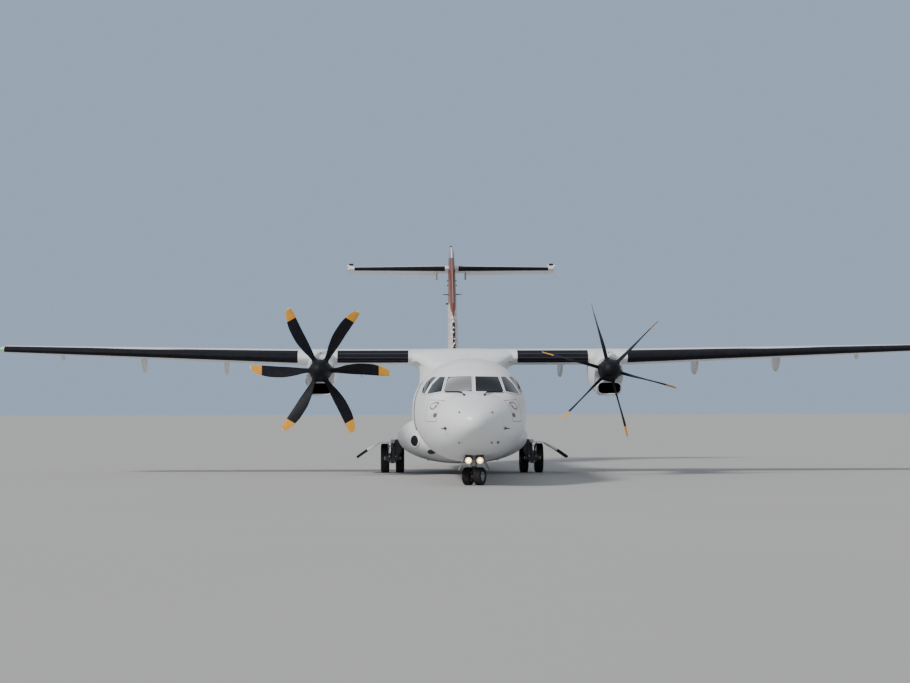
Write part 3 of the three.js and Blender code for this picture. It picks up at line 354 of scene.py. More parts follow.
FORK_LINKS = [((0.0, -0.065, 0.3), (0.0, -0.13, 0.17)), ((0.0, -0.13, 0.17), (0.0, -0.05, 0.05))]
# Nose door: station and height of the belly beside it
NOSE_DOOR = [(1420, 745), (1430, 744), (1850, 690), (2290, 633), (2300, 632)]
# Jacking pads: x, station, height of the face
JACKING_PADS = [(1000, 11500, 380), (-1000, 11500, 380), (0, 2950, 545)]

SIDES = {"left": 1, "right": -1}


# Places and curves


def place(x, station, z):
    """Points in metres in the frame of the part, from x, station and height in millimetres."""
    x, station, z = np.broadcast_arrays(*(np.asarray(v, float) for v in (x, station, z)))
    return np.stack([x, station - MIDDLE_STATION, z], -1) * 0.001


def through_rows(table, keys):
    """Columns of a table at many values of its first column: a cubic through the rows, whose slope at a row
    is the harmonic mean of the slopes beside it, so it never overshoots."""
    table = np.asarray(table, float)
    keys = np.asarray(keys, float)
    first, values = table[:, 0], table[:, 1:]
    step = np.diff(first)[:, None]
    rise = np.diff(values, axis=0) / step
    slope = np.zeros_like(values)
    same = rise[:-1] * rise[1:] > 0
    total = np.where(same, rise[:-1] + rise[1:], 1)
    slope[1:-1] = np.where(same, 2 * rise[:-1] * rise[1:] / total, 0)
    slope[0], slope[-1] = rise[0], rise[-1]
    i = np.clip(np.searchsorted(first, keys, side="right") - 1, 0, len(first) - 2)
    t = ((np.clip(keys, first[0], first[-1]) - first[i]) / step[i, 0])[..., None]
    a, b = values[i], values[i + 1]
    ma, mb = slope[i] * step[i], slope[i + 1] * step[i]
    return (
        a * (
            2 * t**3 - 3 * t**2 + 1
        ) + ma * (t**3 - 2 * t**2 + t) + b * (3 * t**2 - 2 * t**3) + mb * (t**3 - t**2)
    )


def spread(marks, step):
    """Marks with even steps of at most a length between them."""
    marks = sorted(set(marks))
    parts = [np.linspace(a, b, max(1, math.ceil((b - a) / step)) + 1)[:-1] for a, b in zip(marks, marks[1:])]
    return np.concatenate([*parts, [marks[-1]]])


def body_rings(table, stations, sides=96, inset=0, roundness=BODY_ROUNDNESS, x=0):
    """Rings of a rounded body: sine and cosine raised to 2 / roundness, scaled apart above and below the
    waist."""
    half, bottom, waist, top = (column[:, None] for column in through_rows(table, stations).T)
    turn = np.linspace(0, 2 * np.pi, sides, endpoint=False)[None, :]
    across = np.sign(np.sin(turn)) * np.abs(np.sin(turn)) ** (2 / roundness)
    up = np.sign(np.cos(turn)) * np.abs(np.cos(turn)) ** (2 / roundness)
    reach = np.where(up > 0, top - waist - inset, waist - bottom - inset)
    return place(x + across * (half - inset), np.asarray(stations, float)[:, None], waist + up * reach)


def body_x(stations, heights, table=BODY, roundness=BODY_ROUNDNESS):
    """Half width of a rounded body at stations and heights: the superellipse solved for its width."""
    half, bottom, waist, top = np.moveaxis(through_rows(table, stations), -1, 0)
    reach = np.where(heights > waist, top - waist, waist - bottom)
    share = np.clip(np.abs(heights - waist) / reach, 0, 1)
    return half * (1 - share**roundness) ** (1 / roundness)


def body_station(x, heights, table=BODY, reach=4400.0, roundness=BODY_ROUNDNESS):
    """Station where the front of a body is as wide as x at a height, by halving the search up to a
    reach."""
    low, high = np.full_like(x, float(table[0][0])), np.full_like(x, reach)
    for _ in range(26):
        middle = (low + high) / 2
        row = through_rows(table, middle)
        inside = (heights < row[..., 3]) & (heights > row[..., 1])
        wide = np.where(inside, body_x(middle, heights, table, roundness), -1) > np.abs(x)
        low, high = np.where(wide, low, middle), np.where(wide, middle, high)
    return (low + high) / 2


def foil_half(c):
    """Half thickness of a wing section at a share of the chord, for a thickness of one."""
    return 5 * (0.2969 * np.sqrt(c) - 0.126 * c - 0.3516 * c**2 + 0.2843 * c**3 - 0.1015 * c**4)


def foil_rings(table, x, camber=WING_CAMBER, steps=26):
    """Rings of a wing, from the trailing edge over the top to the nose and back below, at distances x."""
    table = np.asarray(table, float)
    lead, chord, ratio, mid = (np.interp(np.abs(x), table[:, 0], table[:, k])[:, None] for k in range(1, 5))
    c = (1 + np.cos(np.linspace(0, np.pi, steps + 1))) / 2
    share = np.concatenate([c, c[::-1][1:]])[None, :]
    sign = np.concatenate([np.ones(steps + 1), -np.ones(steps)])[None, :]
    z = mid + 4 * camber * share * (1 - share) * chord + sign * foil_half(share) * ratio * chord
    return place(np.asarray(x, float)[:, None], lead + share * chord, z)


def wing_at(x, table=WING):
    """Leading edge, chord, thickness ratio and mid height of a wing at a distance x."""
    table = np.asarray(table, float)
    return [float(np.interp(abs(x), table[:, 0], table[:, k])) for k in range(1, 5)]


def on_chord(x, share, table=WING):
    """Station at a share of the chord, mid height and thickness at a distance x."""
    lead, chord, ratio, mid = wing_at(x, table)
    return lead + share * chord, mid, chord * ratio


def rounded_outline(corners, radius, per_corner=8, per_side=6):
    """Closed outline of a polygon with round corners: an arc at each corner and even points between."""
    corners = np.asarray(corners, float)
    points = []
    for i, corner in enumerate(corners):
        before = corners[i - 1] - corner
        after = corners[(i + 1) % len(corners)] - corner
        before, after = before / np.linalg.norm(before), after / np.linalg.norm(after)
        angle = np.arccos(np.clip(before @ after, -1, 1))
        reach = radius / np.tan(angle / 2)
        middle = before + after
        centre = corner + middle / np.linalg.norm(middle) * radius / np.sin(angle / 2)
        start, end = corner + before * reach - centre, corner + after * reach - centre
        turn = np.arctan2(start[0] * end[1] - start[1] * end[0], start @ end)
        for t in np.linspace(0, turn, per_corner):
            cos, sin = np.cos(t), np.sin(t)
            points.append(centre + [start[0] * cos - start[1] * sin, start[0] * sin + start[1] * cos])
        ends = (points[-1], corners[(i + 1) % len(corners)])
        following = corners[(i + 2) % len(corners)] - ends[1]
        back = -after
        forward = following / np.linalg.norm(following)
        bend = np.arccos(np.clip(back @ forward, -1, 1))
        stop = ends[1] + back * radius / np.tan(bend / 2)
        points += [ends[0] + (stop - ends[0]) * k / per_side for k in range(1, per_side)]
    return np.array(points)


def box_outline(front, rear, low, high, radius=110, **counts):
    """Outline of a rectangle with round corners."""
    return rounded_outline([[front, low], [rear, low], [rear, high], [front, high]], radius, **counts)


def grown(outline, amount):
    """An outline moved out along its own normals by an amount."""
    along = np.roll(outline, -1, 0) - np.roll(outline, 1, 0)
    along /= np.linalg.norm(along, axis=1)[:, None]
    normal = np.stack([along[:, 1], -along[:, 0]], -1)
    area = np.sum(outline[:, 0] * np.roll(outline[:, 1], -1) - outline[:, 1] * np.roll(outline[:, 0], -1))
    return outline + np.sign(area) * amount * normal


def on_side(side, table=BODY, roundness=BODY_ROUNDNESS):
    """Maps outline points of station and height, and a lift, onto one side of a rounded body."""

    def lay(points, lift):
        x = body_x(points[:, 0], points[:, 1], table, roundness) + lift
        return place(side * x, points[:, 0], points[:, 1])

    return lay


def on_front(side, **body):
    """Maps outline points of x and height onto the front of the nose or of another body, with a lift
    along the surface's own normal, which comes from the station's change with x and with height."""

    def lay(points, lift):
        x, z = points[:, 0], points[:, 1]
        station = body_station(x, z, **body)
        across = (body_station(x + 2, z, **body) - body_station(x - 2, z, **body)) / 4
        rise = (body_station(x, z + 2, **body) - body_station(x, z - 2, **body)) / 4
        size = np.sqrt(1 + across**2 + rise**2)
        return place(side * (x + lift * across / size), station - lift / size, z + lift * rise / size)

    return lay


def outline_rings(lay, outline, profile):
    """A profile of (share of the way from the centre, growth, lift) carried round an outline on a
    surface."""
    centre = outline.mean(0)
    return [lay(centre + (grown(outline, grow) - centre) * share, lift) for share, grow, lift in profile]


def plate(lay, outline, top, bottom, edge=3):
    """Closed plate on a surface with rounded edges: rings from the centre of its face to the centre of
    its back."""
    shares = [0.0, 0.25, 0.5, 0.75, 0.93]
    profile = [(s, 0, top) for s in shares] + [(1, -edge, top), (1, 0, top - edge), (1, 0, bottom)]
    profile += [(s, 0, bottom) for s in shares[::-1]]
    return loft(outline_rings(lay, outline, profile), capped=False)


def trim(lay, outline, section):
    """Closed band round an outline, from a section of (growth, lift) points."""
    rings = outline_rings(lay, outline, [(1, grow, lift) for grow, lift in section])
    return loft(rings, capped=False, looped=True)


def seam(lay, outline, width=7, lift=1.6):
    """Thin dark line round an outline, a little proud of the skin."""
    return trim(lay, outline, [(-width / 2, -6), (-width / 2, lift), (width / 2, lift), (width / 2, -6)])


# Meshes


def loft(rings, capped=True, looped=False):
    """Corners and faces of a surface through closed rings, with flat ends or a last ring joined to the
    first."""
    rings = np.asarray(rings, float)
    count, sides = rings.shape[:2]
    rows = np.arange(count if looped else count - 1)[:, None]
    columns = np.arange(sides)[None, :]
    after_row, after_column = (rows + 1) % count, (columns + 1) % sides
    quads = np.stack(
        [
            rows * sides + columns,
            rows * sides + after_column,
            after_row * sides + after_column,
            after_row * sides + columns,
        ],
        -1,
    ).reshape(-1, 4)
    faces = quads.tolist()
    if capped:
        faces += [list(range(sides))[::-1], [(count - 1) * sides + i for i in range(sides)]]
    return rings.reshape(-1, 3), faces


def axes_of(direction):
    """Two directions square to a direction and to each other."""
    along = np.asarray(direction, float) / np.linalg.norm(direction)
    helper = np.array([0.0, 0.0, 1.0]) if abs(along[2]) < 0.9 else np.array([0.0, 1.0, 0.0])
    across = np.cross(along, helper)
    across /= np.linalg.norm(across)
    return along, across, np.cross(across, along)


def turned(profile, origin, direction, segments=48, capped=True, looped=False):
    """A profile of (distance along, radius) in metres turned about a line. A looped profile is closed."""
    along, across, up = axes_of(direction)
    profile = np.asarray(profile, float)
    turn = np.linspace(0, 2 * np.pi, segments, endpoint=False)
    round_line = np.cos(turn)[:, None] * across + np.sin(turn)[:, None] * up
    rings = np.asarray(origin, float) + profile[:, :1, None] * along + profile[:, 1:, None] * round_line[None]
    return loft(rings, capped=capped and not looped, looped=looped)


def rod(start, end, radius, end_radius=None, segments=24, chamfer=0.003):
    """Round bar in metres between two points, with chamfered ends."""
    start, end = np.asarray(start, float), np.asarray(end, float)
    length = np.linalg.norm(end - start)
    end_radius = radius if end_radius is None else end_radius
    profile = [
        (0, radius - chamfer),
        (chamfer, radius),
        (length - chamfer, end_radius),
        (length, end_radius - chamfer),
    ]
    return turned(profile, start, end - start, segments)


def tube(path, radius, sides=10, squash=1.0):
    """Round section carried along a path of points in metres, turned with the path's own direction."""
    path = np.asarray(path, float)
    along = np.gradient(path, axis=0)
    along /= np.linalg.norm(along, axis=1)[:, None]
    helper = np.array([0.0, 0.0, 1.0]) if np.abs(along[:, 2]).max() < 0.9 else np.array([1.0, 0.0, 0.0])
    across = np.cross(along, helper)
    across /= np.linalg.norm(across, axis=1)[:, None]
    up = np.cross(across, along)
    turn = np.linspace(0, 2 * np.pi, sides, endpoint=False)
    radius = np.broadcast_to(np.asarray(radius, float), len(path))[:, None, None]
    rings = path[:, None] + radius * (
        np.cos(turn)[None, :, None] * across[:, None] + squash * np.sin(turn)[None, :, None] * up[:, None]
    )
    return loft(rings)


def curve(points, count=24):
    """Smooth path through a few points, by a cubic in the distance along them."""
    points = np.asarray(points, float)
    reach = np.concatenate([[0], np.cumsum(np.linalg.norm(np.diff(points, axis=0), axis=1))])
    return through_rows(np.column_stack([reach, points]), np.linspace(0, reach[-1], count))


def prism(outline, lay, low, high):
    """Closed prism of a flat outline between two values of the third direction."""
    outline = np.asarray(outline, float)
    return loft([lay(outline, low), lay(outline, high)])


def from_side(points, x):
    """Outline of (station, height) at a distance x."""
    return place(x, points[:, 0], points[:, 1])


def from_front(points, station):
    """Outline of (x, height) at a station."""
    return place(points[:, 0], station, points[:, 1])


def from_above(points, z):
    """Outline of (x, station) at a height."""
    return place(points[:, 0], points[:, 1], z)


def block(x0, x1, front, rear, z0, z1):
    """Closed box between two distances, stations and heights."""
    return prism([[x0, front], [x1, front], [x1, rear], [x0, rear]], from_above, z0, z1)


def mesh_of(name, parts, uvs=None):
    """One mesh from parts of corners, faces and an optional material index, merged and with its faces
    turned out."""
    corners, faces, indices, offset = [], [], [], 0
    for part in parts:
        points, part_faces, *index = part
        corners.append(np.asarray(points, float))
        faces += [[i + offset for i in face] for face in part_faces]
        indices += [index[0] if index else 0] * len(part_faces)
        offset += len(points)
    mesh = bpy.data.meshes.new(name)
    mesh.from_pydata(np.concatenate(corners).tolist(), [], faces)
    mesh.polygons.foreach_set("material_index", indices)
    if uvs is not None:
        loops = np.zeros(len(mesh.loops), int)
        mesh.loops.foreach_get("vertex_index", loops)
        layer = mesh.uv_layers.new(name="pattern")
        layer.uv.foreach_set("vector", np.asarray(uvs, np.float32)[loops].ravel())
    work = bmesh.new()
    work.from_mesh(mesh)
    bmesh.ops.remove_doubles(work, verts=work.verts, dist=1e-6)
    bmesh.ops.recalc_face_normals(work, faces=work.faces)
    work.to_mesh(mesh)
    work.free()
    return mesh


def carved(mesh, cutters, operation="DIFFERENCE"):
    """A mesh after solids are cut from it, joined to it, or it is kept only inside them."""
    scene = bpy.context.scene.collection.objects
    body = bpy.data.objects.new("carving", mesh)
    scene.link(body)
    tools = []
    for cutter in cutters:
        tool = bpy.data.objects.new("tool", cutter)
        scene.link(tool)
        tools.append(tool)
        step = body.modifiers.new("cut", "BOOLEAN")
        step.operation, step.object, step.solver = operation, tool, "EXACT"
        step.material_mode = "TRANSFER"
    result = bpy.data.meshes.new_from_object(body.evaluated_get(bpy.context.evaluated_depsgraph_get()))
    for thing in [body, *tools]:
        bpy.data.objects.remove(thing)
    if not len(result.polygons):
        raise RuntimeError(f"carving {mesh.name} left nothing")
    return result


def solid(part, material=None, name="solid"):
    """A mesh from one part or a list of them, with its material."""
    mesh = mesh_of(name, part if isinstance(part, list) else [part])
    if material:
        mesh.materials.append(material)
    return mesh


def add_piece(name, mesh, body, materials=(), replaces=(), angle=32):
    """A finished piece: smooth but for edges over an angle, riding on a body of the frame."""
    for material in materials:
        mesh.materials.append(material)
    mesh.shade_smooth()
    mesh.set_sharp_from_angle(angle=math.radians(angle))
    piece = bpy.data.objects.new(name, mesh)
    bpy.context.scene.collection.objects.link(piece)
    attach(piece, body)
    if replaces:
        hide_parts(*replaces)
    return piece


def dress(name, parts, look, body="airframe", replaces=(), angle=32):
    """A finished piece from parts in one of the aircraft's finishes."""
    return add_piece(name, mesh_of(name, parts), body, [finish(look)], replaces, angle)


# Materials


def shaded(color, share):
    """A share of a colour."""
    return tuple(v * share for v in color)


class Shade:
    """One material, with short ways to add its nodes."""

    def __init__(
        self, name, roughness=0.4, metallic=0.0, coat=0.0, specular=0.5, color=None, coat_roughness=0.05
    ):
        self.material = bpy.data.materials.new(name)
        self.material.use_nodes = True
        self.tree = self.material.node_tree
        self.tree.nodes.clear()
        output = self.tree.nodes.new("ShaderNodeOutputMaterial")
        self.surface = self.tree.nodes.new("ShaderNodeBsdfPrincipled")
        self.tree.links.new(self.surface.outputs[0], output.inputs[0])
        self.set("Roughness", roughness)
        self.set("Metallic", metallic)
        self.set("Coat Weight", coat)
        self.set("Coat Roughness", coat_roughness)
        self.set("Specular IOR Level", specular)
        if color is not None:
            self.set("Base Color", (*color, 1))
        self.object = self.add("ShaderNodeTexCoord").outputs["Object"]

    def add(self, kind, inputs=None, **settings):
        node = self.tree.nodes.new(kind)
        for key, value in settings.items():
            setattr(node, key, value)
        for key, value in (inputs or {}).items():
            self.put(node.inputs[key], value)
        return node

    def put(self, socket, value):
        if isinstance(value, bpy.types.NodeSocket):
            self.tree.links.new(value, socket)
        else:
            socket.default_value = value

    def set(self, name, value):
        self.put(self.surface.inputs[name], value)

    def math(self, operation, a, b=0.0, clamp=False):
        return self.add("ShaderNodeMath", {0: a, 1: b}, operation=operation, use_clamp=clamp).outputs[0]

    def plus(self, a, b):
        return self.math("ADD", a, b)

    def minus(self, a, b):
        return self.math("SUBTRACT", a, b)

    def times(self, a, b, clamp=False):
        return self.math("MULTIPLY", a, b, clamp)

    def axis(self, name, vector=None):
        return self.add("ShaderNodeSeparateXYZ", {0: vector or self.object}).outputs[name]

    def noise(self, scale, detail=4.0, stretch=(1, 1, 1), roughness=0.5):
        vector = self.add("ShaderNodeMapping", {"Vector": self.object, "Scale": stretch}).outputs[0]
        values = {"Vector": vector, "Scale": scale, "Detail": detail, "Roughness": roughness}
        return self.add("ShaderNodeTexNoise", values).outputs["Fac"]

    def ramp(self, value, *stops, interpolation="LINEAR"):
        node = self.add("ShaderNodeValToRGB", {"Fac": value})
        node.color_ramp.interpolation = interpolation
        elements = node.color_ramp.elements
        while len(elements) < len(stops):
            elements.new(0.5)
        for element, (position, color) in zip(elements, stops):
            element.position = position
            element.color = (*color, 1) if isinstance(color, tuple) else (color, color, color, 1)
        return node.outputs["Color"]

    def mix(self, factor, a, b):
        node = self.add("ShaderNodeMix", data_type="RGBA")
        for socket, value in ((0, factor), (6, a), (7, b)):
            self.put(
                node.inputs[socket], (*value, 1) if isinstance(value, tuple) and len(value) == 3 else value
            )
        return node.outputs[2]

    def bump(self, height, strength=0.3, distance=0.002):
        values = {"Height": height, "Strength": strength, "Distance": distance}
        self.set("Normal", self.add("ShaderNodeBump", values).outputs[0])

    def lines(self, coordinate, pitch, offset, width):
        """One where a coordinate is off every evenly spaced line, and nought on a line of a width."""
        shifted = self.plus(coordinate, offset)
        wrapped = self.math("WRAP", shifted, pitch / 2)
        self.tree.nodes[-1].inputs[2].default_value = -pitch / 2
        far = self.math("ABSOLUTE", wrapped)
        return self.times(self.minus(far, width / 2), 1 / width, clamp=True)


def paint(name, color, panel_lines=(), grime=0.22, roughness=0.3):
    """Gloss aircraft paint: soft streaks of dirt, small changes of shade, and joints between the panels."""
    shade = Shade(name, roughness, coat=0.18, specular=0.45, coat_roughness=0.26)
    cloud = shade.noise(0.55, 5.0)
    streak = shade.noise(1.6, 6.0, stretch=(1.0, 0.28, 2.6), roughness=0.62)
    low = tuple(v * (1 - grime) for v in color)
    base = shade.ramp(cloud, (0.3, shaded(color, 0.965)), (0.72, color))
    dirt = shade.ramp(streak, (0.52, 0.0), (0.78, 1.0))
    base = shade.mix(shade.times(dirt, 0.5), base, low)
    height = None
    for axis, pitch, offset, width in panel_lines:
        line = shade.lines(shade.axis(axis), pitch, offset, width)
        if axis != "X":
            ahead = shade.math("LESS_THAN", shade.axis("Y"), NOSE_LINES_END)
            line = shade.math("MAXIMUM", line, ahead)
        height = line if height is None else shade.times(height, line)
    if height is not None:
        dark = shaded(color, 0.5)
        faded = shade.plus(shade.times(height, 0.55), 0.45)
        base = shade.mix(faded, dark, base)
        shade.bump(height, 0.35, 0.003)
    shade.set("Base Color", base)
    rough = shade.plus(shade.times(streak, 0.16), roughness - 0.06)
    shade.set("Roughness", rough)
    return shade.material


def fin_paint(name, red, white, cap_height, foot_height):
    """Red-brown paint over white. Its lower edge starts at a foot on the leading edge and climbs with the
    square root of the way aft, broken by two scales of noise. Chips of wear lie along the leading edge
    below it. A pale strip down the red leading edge is a painted highlight, and the cap above has its
    flanks darkened blue-grey as painted shade."""
    shade = Shade(name, 0.34, coat=0.12, coat_roughness=0.14, specular=0.4)
    across = shade.math("ABSOLUTE", shade.axis("X"))
    along, height = shade.axis("Y"), shade.axis("Z")
    lead = shade.plus(shade.times(height, 1.0984), 3.458)
    aft = shade.minus(along, lead)
    near = shade.math("LESS_THAN", aft, 0.3)
    climb = shade.math("POWER", shade.math("MAXIMUM", aft, 0.0), 0.5)
    climb = shade.math("MINIMUM", shade.times(climb, 1.15), 0.74)
    ragged = shade.minus(shade.noise(1.5, 6.0, stretch=(1, 1, 0.6), roughness=0.7), 0.5)
    fine = shade.minus(shade.noise(8.0, 3.0, stretch=(1, 1, 0.7), roughness=0.6), 0.5)
    torn = shade.plus(shade.times(ragged, 0.9), shade.times(fine, 0.5))
    torn = shade.times(torn, shade.math("MINIMUM", shade.times(climb, 4.0), 1.0))
    above = shade.minus(shade.plus(height, torn), shade.plus(climb, foot_height))
    low = shade.times(above, 14.0, clamp=True)
    mottle = shade.noise(3.0, 5.0)
    deep = shade.ramp(mottle, (0.3, shaded(red, 0.75)), (0.75, red))
    pale = shade.ramp(mottle, (0.3, shaded(white, 0.93)), (0.75, white))
    spray = shade.ramp(shade.noise(14.0, 5.0, stretch=(1, 1, 0.5), roughness=0.75), (0.45, 0.0), (0.56, 1.0))
    band = shade.times(shade.minus(height, foot_height - 1.6), 1.2, clamp=True)
    spray = shade.times(shade.times(spray, band), 0.85)
    pale = shade.mix(spray, pale, tuple(min(1.0, v * 1.6 + 0.03) for v in red))
    # A pale strip down the leading edge of the red: painted highlight.
    ridge = shade.times(shade.math("LESS_THAN", across, 0.011), near)
    ridge = shade.times(ridge, shade.math("GREATER_THAN", height, foot_height + 0.7))
    deep = shade.mix(shade.times(ridge, 0.45), deep, (0.7, 0.5, 0.45))
    color = shade.mix(low, pale, deep)
    chips = shade.ramp(shade.noise(6.5, 2.0, stretch=(1, 1, 1), roughness=0.4), (0.47, 0.0), (0.49, 1.0))
    edge = shade.times(shade.math("LESS_THAN", across, 0.05), shade.math("LESS_THAN", aft, 0.2))
    edge = shade.times(edge, shade.math("LESS_THAN", height, foot_height))
    edge = shade.times(edge, shade.math("GREATER_THAN", height, 3.75))
    color = shade.mix(shade.times(edge, chips), color, (0.006, 0.006, 0.008))
    cap = shade.math("GREATER_THAN", height, cap_height)
    # The cap's flanks are darkened to blue-grey, leaving white only down its front: painted shade.
    flank = shade.times(shade.minus(across, 0.011), 60.0, clamp=True)
    color = shade.mix(cap, color, shade.mix(flank, white, (0.2, 0.22, 0.27)))
    joint = shade.math("COMPARE", height, cap_height)
    shade.tree.nodes[-1].inputs[2].default_value = 0.014
    shade.set("Base Color", shade.mix(joint, color, (0.02, 0.02, 0.025)))
    shade.bump(shade.lines(height, 0.86, 0.2, 0.008), 0.25, 0.002)
    return shade.material


def rubber(name, color, roughness=0.6, ribs=0.0, bloom=0.006, specular=0.16):
    """Black rubber with a dusty bloom, and fine ribs along its own width where it has any."""
    shade = Shade(name, roughness, specular=specular)
    dust = shade.noise(5.0, 6.0, roughness=0.65)
    pale = tuple(min(1.0, v * 1.7 + bloom) for v in color)
    base = shade.ramp(dust, (0.35, color), (0.85, pale))
    if ribs:
        across = shade.axis("Y", shade.add("ShaderNodeUVMap", uv_map="pattern").outputs[0])
        line = shade.lines(across, 1 / ribs, 0.0, 0.028)
        base = shade.mix(line, tuple(v * 4 + 0.02 for v in color), base)
        shade.bump(line, 0.4, 0.002)
    else:
        shade.bump(shade.noise(60.0, 3.0), 0.08, 0.002)
    shade.set("Base Color", base)
    shade.set("Roughness", shade.plus(shade.times(dust, 0.2), roughness - 0.1))
    return shade.material


def bare_metal(name, color, roughness=0.32, metallic=1.0, stain=0.25, scale=6.0):
    """Metal with faint scratches and darker stains in patches."""
    shade = Shade(name, roughness, metallic)
    patches = shade.noise(scale, 6.0, roughness=0.6)
    scratches = shade.noise(scale * 9, 3.0, stretch=(1, 0.12, 1))
    dark = tuple(v * (1 - stain) for v in color)
    shade.set("Base Color", shade.ramp(patches, (0.32, dark), (0.7, color)))
    shade.set("Roughness", shade.plus(shade.times(scratches, 0.2), roughness - 0.08))
    shade.bump(scratches, 0.08, 0.001)
    return shade.material


def glass(name, color, roughness=0.08):
    """Dark cockpit or cabin glass: a deep body under a thin clear coat, with faint haze."""
    shade = Shade(name, roughness, coat=0.3, specular=0.4, coat_roughness=0.02)
    haze = shade.noise(2.4, 4.0)
    shade.set("Base Color", shade.ramp(haze, (0.3, shaded(color, 0.6)), (0.8, color)))
    return shade.material


def blade_paint(name, black, band, tip):
    """Blade finish by the share of the radius in its own map: dull root, black blade, bright band and
    thin pale tip, both on the front face alone."""
    shade = Shade(name, 0.6, specular=0.16)
    radius = shade.axis("Y", shade.add("ShaderNodeUVMap", uv_map="pattern").outputs[0])
    wear = shade.noise(9.0, 5.0)
    worn = shade.ramp(wear, (0.4, black), (0.9, tuple(v * 1.9 + 0.004 for v in black)))
    faded = shade.ramp(wear, (0.3, shaded(band, 0.85)), (0.7, band))
    bands = shade.ramp(radius, (0.0, 0.0), (0.83, 1.0), interpolation="CONSTANT")
    ahead = shade.math(
        "GREATER_THAN", shade.axis("X", shade.add("ShaderNodeUVMap", uv_map="pattern").outputs[0]), 0.5
    )
    bands = shade.times(bands, ahead)
    ends = shade.ramp(radius, (0.0, 0.0), (0.985, 1.0), interpolation="CONSTANT")
    base = shade.mix(shade.times(ends, ahead), shade.mix(bands, worn, faded), tip)
    shade.set("Base Color", base)
    shade.set("Roughness", shade.ramp(radius, (0.0, 0.8), (0.3, 0.55), (0.34, 0.5)))
    shade.bump(wear, 0.06, 0.001)
    return shade.material


def glow(name, color, strength, body=(0.9, 0.85, 0.75)):
    """Lamp glass that gives its own light."""
    shade = Shade(name, 0.15, coat=1.0, color=body)
    shade.set("Emission Color", (*color, 1))
    shade.set("Emission Strength", strength)
    return shade.material


def plain_liner(name, color, roughness=0.7, scale=5.0):
    """Quiet inner surface with soft mottling."""
    shade = Shade(name, roughness)
    mottle = shade.noise(scale, 5.0)
    shade.set("Base Color", shade.ramp(mottle, (0.3, shaded(color, 0.75)), (0.75, color)))
    shade.bump(shade.noise(scale * 12, 2.0), 0.1, 0.001)
    return shade.material


def exhaust_metal(name, color, heat):
    """Hot-stained steel: noise patches of brown heat stain and darker soot all over, with a fine bump."""
    shade = Shade(name, 0.38, metallic=0.9)
    patch = shade.noise(4.0, 6.0, roughness=0.65)
    shade.set(
        "Base Color", shade.ramp(patch, (0.3, heat), (0.55, color), (0.8, shaded(color, 0.6)))
    )
    shade.bump(shade.noise(30.0, 3.0), 0.12, 0.001)
    return shade.material


def apron(name, color):
    """Pale matte floor with the faintest change of shade."""
    shade = Shade(name, 0.75, specular=0.25)
    shade.set(
        "Base Color", shade.ramp(shade.noise(0.12, 4.0), (0.3, shaded(color, 0.97)), (0.7, color))
    )
    return shade.material


_finishes = {}


def finish(name):
    """A finish of the aircraft by name, made once."""
    if name not in _finishes:
        _finishes[name] = make_finish(name)
    return _finishes[name]


